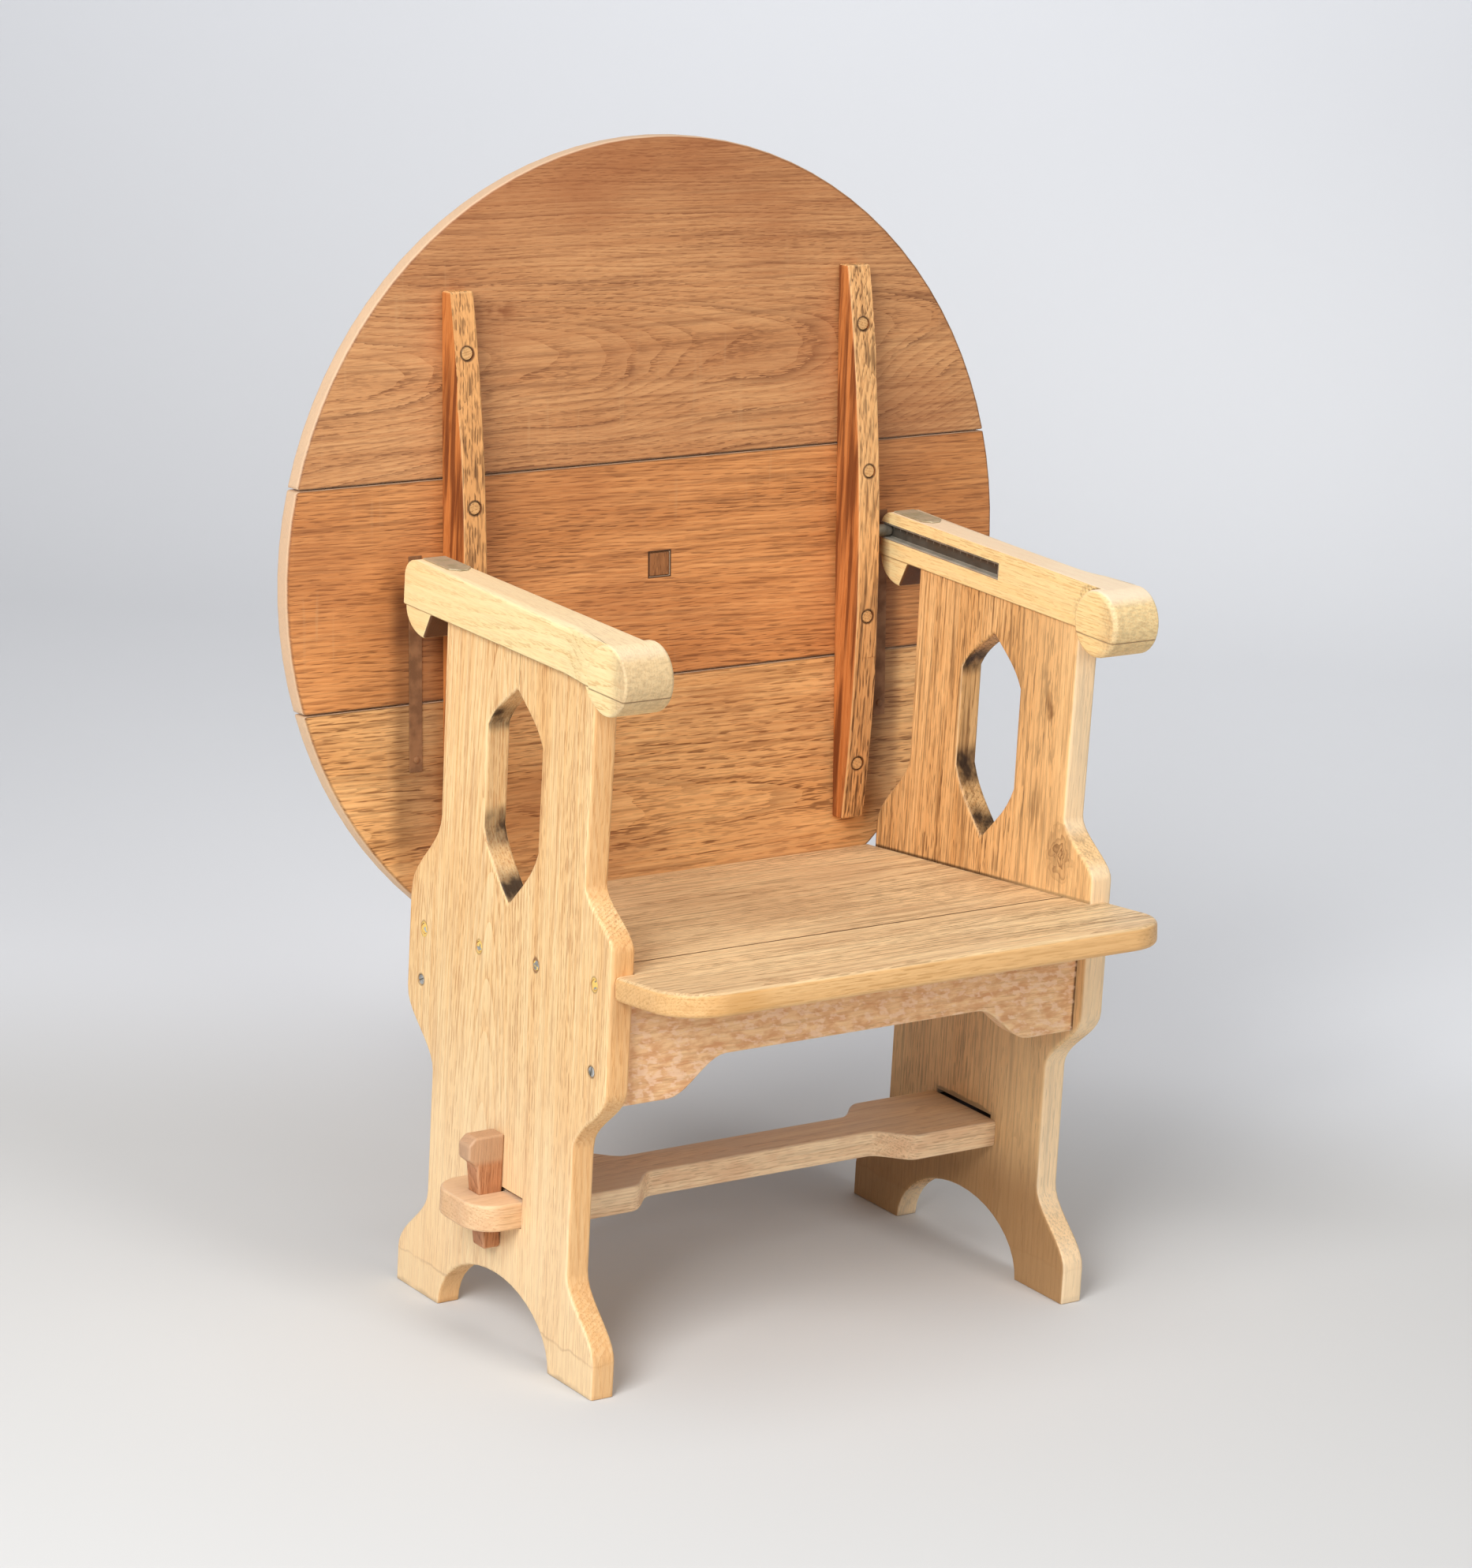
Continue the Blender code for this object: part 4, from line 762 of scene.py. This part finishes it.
def board_marks(colour, at, face):
    """Dirt in the joints and round the plug, saw marks and scuffs, a red stain, brown clouds,
    painted shade over the upper part, a painted shadow behind each panel on the underside,
    and a pale sanded rim."""
    for joint in (UPPER_JOINT, LOWER_JOINT):
        open_joint = near(up_top(at), CENTRE_UP + joint, 0.0032)
        colour = tint(open_joint * 0.9, colour, srgb(44, 24, 12))
    reach = abs(at["x"] - plug_middle.x)
    rise = abs(up_top(at) - plug_middle.dot(TOP_UP))
    square_off = reach.node("Math", {0: reach, 1: rise}, operation="MAXIMUM")
    border = fade(near(square_off, PLUG_HALF, 0.0030), 0.1, 0.6)
    colour = tint(border, colour, srgb(44, 24, 12))
    saw = fade(grit(at["x"] * 130.0, at["y"] * 4.0, at["z"] * 9.0), 0.58, 0.74)
    scuff = fade(grit(at["x"] * 6.0, at["y"] * 8.0, at["z"] * 5.0, 3.0), 0.45, 0.65)
    colour = tint(saw * scuff * 0.28, colour, srgb(205, 160, 112))
    stain = near(at["x"], STAIN_X, 0.030) * near(at["z"], STAIN_Z, 0.012)
    stain = stain * fade(grit(at["x"] * 70.0, at["y"] * 70.0, at["z"] * 70.0), 0.35, 0.6)
    colour = tint(stain * 0.8, colour, srgb(112, 52, 18))
    shade = fade(grit(at["x"] * 5.0, at["y"] * 5.0, at["z"] * 9.0, 4.0), 0.42, 0.70)
    # Brown clouds, and painted shade that darkens the upper part of the top.
    colour = tint(shade * 0.35 + fade(at["z"], 0.86, 1.08) * 0.35, colour, srgb(156, 92, 52))
    # Painted shadow on the underside behind each panel and arm.
    out = abs(at["x"])
    painted_panel_shadow = fade(out, 0.222, 0.240) * fade(out, 0.300, 0.282)
    painted_panel_shadow = painted_panel_shadow * fade(at["z"], 0.35, 0.47) * fade(at["z"], 0.70, 0.66)
    under = fade(face["y"], -0.5, -0.8)
    colour = tint(painted_panel_shadow * under * (shade * 0.3 + 0.5), colour, srgb(92, 52, 26))
    square = face["y"] * math.cos(LEAN) - face["z"] * math.sin(LEAN)
    return tint(fade(abs(square), 0.9, 0.4) * 0.8, colour, srgb(238, 204, 168))


BOARDS = {
    "upper": dict(pale=srgb(220, 164, 110), ring=srgb(184, 124, 76), pore=srgb(100, 54, 28),
                  pith=(0.87, 0.315), sway=0.10, ripple=0.003, taper=0.055, bold=0.8,
                  bold_gap=0.013, dashes=0.7, seed=11.0),
    "middle": dict(pale=srgb(230, 162, 100), ring=srgb(190, 120, 64), pore=srgb(92, 48, 22),
                   pith=(0.30, 0.55), sway=0.05, ripple=0.004, taper=0.05, bold=0.3,
                   dash=(0.0007, 0.011), seed=13.0),
    "lower": dict(pale=srgb(252, 200, 136), ring=srgb(220, 158, 96), pore=srgb(108, 64, 30),
                  pith=(0.42, 0.34), sway=0.06, ripple=0.004, bold=0.4, dashes=1.0,
                  dash=(0.0008, 0.010), seed=17.0),
}
for word, figure in BOARDS.items():
    finish = oak("top_oak_" + word, "xzy", worn=srgb(96, 56, 28), veins=0.35, cloud=0.6, wear=0.5,
                 rough=0.5, marks=board_marks, **figure)
    board = eased("top_board_" + word, 0.0035, board_edges)
    dressed(board, finish, "top", "brown_oak", "top_board_" + word)
PLUG_OAK = oak("plug_oak", "zxy", srgb(168, 112, 66), srgb(140, 88, 48), srgb(84, 48, 24),
               srgb(40, 22, 10), pith=(0.02, 0.26), wear=0.6, seed=19.0)
plug = eased("centre_plug", 0.0012, all_edges, 2)
dressed(plug, PLUG_OAK, "top", "rosy_oak", "centre_plug")


# Battens and their pegs.
# Two bow-fronted battens are pegged across the boards. Their fronts are rubbed pale, their
# sides keep an old red-brown stain, and each shows the ends of round pegs.
INNER_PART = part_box("batten_right")[0].x + 0.019
STUD_SLOT_HALF = 0.0075
THIN_TOP = 0.56
THIN_FADE = 0.06
PEG_RADIUS = 0.0068


def batten_edges(middle, length):
    """Front arrises and ends are worn; the stud's slot, the thin wood beside it and the peg holes
    are crisp."""
    if length < PEG_FACET:
        return 0.0
    if abs(middle.x) < INNER_PART:
        return 1.0
    off = (middle.y - PIN_Y) * math.cos(LEAN) - (middle.z - PIN_Z) * math.sin(LEAN)
    if abs(off) < STUD_SLOT_HALF:
        return 0.0
    return min(max((middle.z - THIN_TOP) / THIN_FADE, 0.0), 1.0)


def batten_marks(colour, at, face):
    """Streaky red-brown stain is left on the sides, and dirt lies round the pegs."""
    for number in "1234":
        low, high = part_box("batten_dowel_right_" + number)
        middle = (low + high) / 2
        off = abs(at["x"]) - middle.x
        rise = up_top(at) - middle.dot(TOP_UP)
        away = (off * off + rise * rise) ** 0.5
        colour = tint(near(away, PEG_RADIUS, 0.0020) * 0.85, colour, srgb(56, 30, 14))
    side = fade(abs(face["x"]), 0.6, 0.85)
    patch = grit(at["x"] * 60.0, at["y"] * 110.0, at["z"] * 7.0, 3.0)
    colour = tint(side * 0.75, colour, srgb(200, 114, 50))
    return tint(side * fade(patch, 0.42, 0.60) * 0.8, colour, srgb(98, 42, 14))


PEG_OAK = oak("peg_oak", "yxz", srgb(236, 186, 124), srgb(206, 150, 92), srgb(130, 84, 46),
              srgb(66, 38, 18), pith=(0.0, 0.0), wear=0.7, seed=23.0)
BATTENS = (("left", srgb(236, 174, 108), 27.0), ("right", srgb(246, 190, 126), 29.0))
for word, pale, seed in BATTENS:
    finish = oak("batten_oak_" + word, "zxy", pale, srgb(204, 142, 84), srgb(66, 34, 14),
                 srgb(240, 196, 138), pith=(0.28, 0.12), dashes=1.0, dash=(0.0010, 0.009),
                 veins=0.6, seed=seed, marks=batten_marks)
    batten = eased("batten_" + word, 0.0025, batten_edges)
    dressed(batten, finish, "top", "pale_oak", "batten_" + word)
    for number in "1234":
        node = "batten_dowel_" + word + "_" + number
        dressed(eased(node, 0.0014, all_edges, 2), PEG_OAK, "top", "brown_oak", node)


# Wear strips.
# Thin steel strips nailed on the underside of the top, which slide over the arms' plates.
# The strip steel is a dull dark brown: its own dull colour, darkened as painted shade where the
# arms overhang.
STRIP_STEEL = metal("strip_steel", srgb(150, 104, 66), srgb(120, 80, 48), 0.5, 0.05)
STRIP_NAIL = 0.0032
STRIP_SETBACK = 0.012
STRIP_FACING = (0.0, -math.cos(LEAN), math.sin(LEAN))


def nail(name, place, along, radius, body, finish):
    """A nail's head: a disc drawn in and up to a low crown, standing on a surface."""
    bpy.ops.object.select_all(action="DESELECT")
    bpy.ops.mesh.primitive_cylinder_add(vertices=20, radius=radius, depth=radius * 0.4)
    head = bpy.context.object
    head.name = name
    bpy.ops.object.mode_set(mode="EDIT")
    bpy.ops.mesh.select_all(action="DESELECT")
    shape = bmesh.from_edit_mesh(head.data)
    for face in shape.faces:
        face.select = face.normal.z > 0.9
    bmesh.update_edit_mesh(head.data)
    for _ in range(2):
        bpy.ops.mesh.inset(thickness=radius * 0.28)
        bpy.ops.transform.translate(value=(0.0, 0.0, radius * 0.10))
    bpy.ops.object.mode_set(mode="OBJECT")
    turn = Vector((0, 0, 1)).rotation_difference(Vector(along)).to_matrix().to_4x4()
    head.data.transform(Matrix.Translation(place) @ turn)
    bpy.ops.object.shade_smooth_by_angle(angle=math.radians(50))
    head.data.materials.append(finish)
    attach(head, body)


for word in ("left", "right"):
    node = "wear_strip_" + word
    dressed(eased(node, 0.0003, all_edges, 2), STRIP_STEEL, "top", "steel", node)
    low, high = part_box(node)
    span = high.z - low.z
    for end, share in (("foot", STRIP_SETBACK / span), ("head", 1.0 - STRIP_SETBACK / span)):
        front = low.y + (high.y - low.y) * share - 0.0006 if end == "foot" else high.y - 0.0026
        place = ((low.x + high.x) / 2, front, low.z + span * share)
        name = "strip_nail_" + word + "_" + end
        nail(name, place, STRIP_FACING, STRIP_NAIL, "top", STRIP_STEEL)


# Studio.
# A pale grey floor that sweeps up into a pale blue-grey backdrop, lit by four large soft lamps
# and an even sky, with a long lens looking down on the bench from its front left.
FLOOR_HALF = 7.0
SWEEP_START = 2.6
SWEEP_RADIUS = 1.6
WALL_HEIGHT = 5.0
BACKDROP_TURN = math.radians(35.0)
bpy.ops.object.select_all(action="DESELECT")
bpy.ops.mesh.primitive_plane_add(size=2.0 * FLOOR_HALF)
backdrop = bpy.context.object
backdrop.name = "backdrop"
bpy.ops.object.mode_set(mode="EDIT")
shape = bmesh.from_edit_mesh(backdrop.data)
for vertex in shape.verts:
    if vertex.co.y > 0.0:
        vertex.co.y = SWEEP_START
shape.select_flush(False)
for edge in shape.edges:
    edge.select = all(vertex.co.y > 0.0 for vertex in edge.verts)
bmesh.update_edit_mesh(backdrop.data)
bpy.ops.mesh.spin(steps=16, angle=-math.pi / 2, center=(0.0, SWEEP_START, SWEEP_RADIUS),
                  axis=(1.0, 0.0, 0.0))
bpy.ops.mesh.extrude_region_move(TRANSFORM_OT_translate={"value": (0.0, 0.0, WALL_HEIGHT)})
bpy.ops.object.mode_set(mode="OBJECT")
backdrop.data.transform(Matrix.Rotation(-BACKDROP_TURN, 4, "Z"))
bpy.ops.object.shade_smooth()
paper = bpy.data.materials.new("backdrop_paper")
paper.use_nodes = True
tree = paper.node_tree
place = Wire(tree, tree.nodes.new("ShaderNodeTexCoord").outputs["Object"])
up = place.node("SeparateXYZ", {0: place}, out=2)
mottle = place.node("TexNoise", {"Vector": place, "Scale": 1.3, "Detail": 3.0})
shade = tint(fade(up, 0.0, 0.9), srgb(207, 206, 204), srgb(228, 231, 236))
shade = tint(fade(mottle, 0.4, 0.7) * 0.2, shade, srgb(206, 204, 202))
to_back = (math.sin(BACKDROP_TURN), math.cos(BACKDROP_TURN), 0.0)
to_right = (math.cos(BACKDROP_TURN), -math.sin(BACKDROP_TURN), 0.0)
away = place.node("VectorMath", {0: place, 1: to_back}, out=1, operation="DOT_PRODUCT")
cross = place.node("VectorMath", {0: place, 1: to_right}, out=1, operation="DOT_PRODUCT")
# Painted light: the paper grows paler away behind the bench, with a bright strip low on the right,
# where light falls on the sweep.
behind = fade(away, 0.3, 1.0)
shade = tint(behind * 0.8, shade, srgb(236, 237, 240))
painted_horizon_light = behind * fade(cross, -0.2, 0.9) * fade(up, 0.8, 0.0)
shade = tint(painted_horizon_light * 0.8, shade, srgb(250, 251, 253))
tree.links.new(shade.socket, tree.nodes["Principled BSDF"].inputs["Base Color"])
tree.nodes["Principled BSDF"].inputs["Roughness"].default_value = 0.8
backdrop.data.materials.append(paper)

LAMPS = (
    ("left_lamp", (-3.6, -2.0, 3.1), (0.0, 0.0, 0.5), 2.4, 206.0),
    ("front_lamp", (0.9, -4.8, 2.3), (0.0, 0.0, 0.5), 1.4, 56.0),
    ("top_lamp", (-0.3, -1.0, 4.6), (0.0, 0.0, 0.0), 3.0, 64.0),
    ("back_lamp", (1.9, 2.0, 3.4), (3.0, 3.6, 0.0), 2.4, 26.0),
)
for name, position, target, size, power in LAMPS:
    lamp = bpy.data.lights.new(name, "AREA")
    lamp.size = size
    lamp.energy = power
    holder = bpy.data.objects.new(name, lamp)
    bpy.context.scene.collection.objects.link(holder)
    holder.location = position
    aim = Vector(target) - Vector(position)
    holder.rotation_euler = aim.to_track_quat("-Z", "Y").to_euler()

sky = bpy.data.worlds.new("studio_sky")
sky.use_nodes = True
sky_light = sky.node_tree.nodes["Background"]
sky_light.inputs["Color"].default_value = srgb(240, 243, 250)
sky_light.inputs["Strength"].default_value = 0.24
bpy.context.scene.world = sky

CAMERA_PLACE = (-2.790, -3.9264, 1.851)
YAW = math.radians(34.96)
PITCH = math.radians(15.58)
ROLL = math.radians(3.12)
SENSOR = 36.0
LENS = SENSOR * 6762.0 / 1988.0
level_ahead = Vector((math.sin(YAW), math.cos(YAW), 0.0))
ahead = level_ahead * math.cos(PITCH) - Vector((0.0, 0.0, math.sin(PITCH)))
level = Vector((math.cos(YAW), -math.sin(YAW), 0.0))
upright = level.cross(ahead)
right = math.cos(ROLL) * level + math.sin(ROLL) * upright
top_side = math.cos(ROLL) * upright - math.sin(ROLL) * level
camera = bpy.data.objects.new("camera", bpy.data.cameras.new("camera"))
bpy.context.scene.collection.objects.link(camera)
turn = Matrix((right, top_side, -ahead)).transposed().to_4x4()
camera.matrix_world = Matrix.Translation(CAMERA_PLACE) @ turn
camera.data.lens = LENS
camera.data.sensor_width = SENSOR
camera.data.clip_end = 60.0
bpy.context.scene.camera = camera
bpy.context.scene.view_settings.view_transform = "Standard"
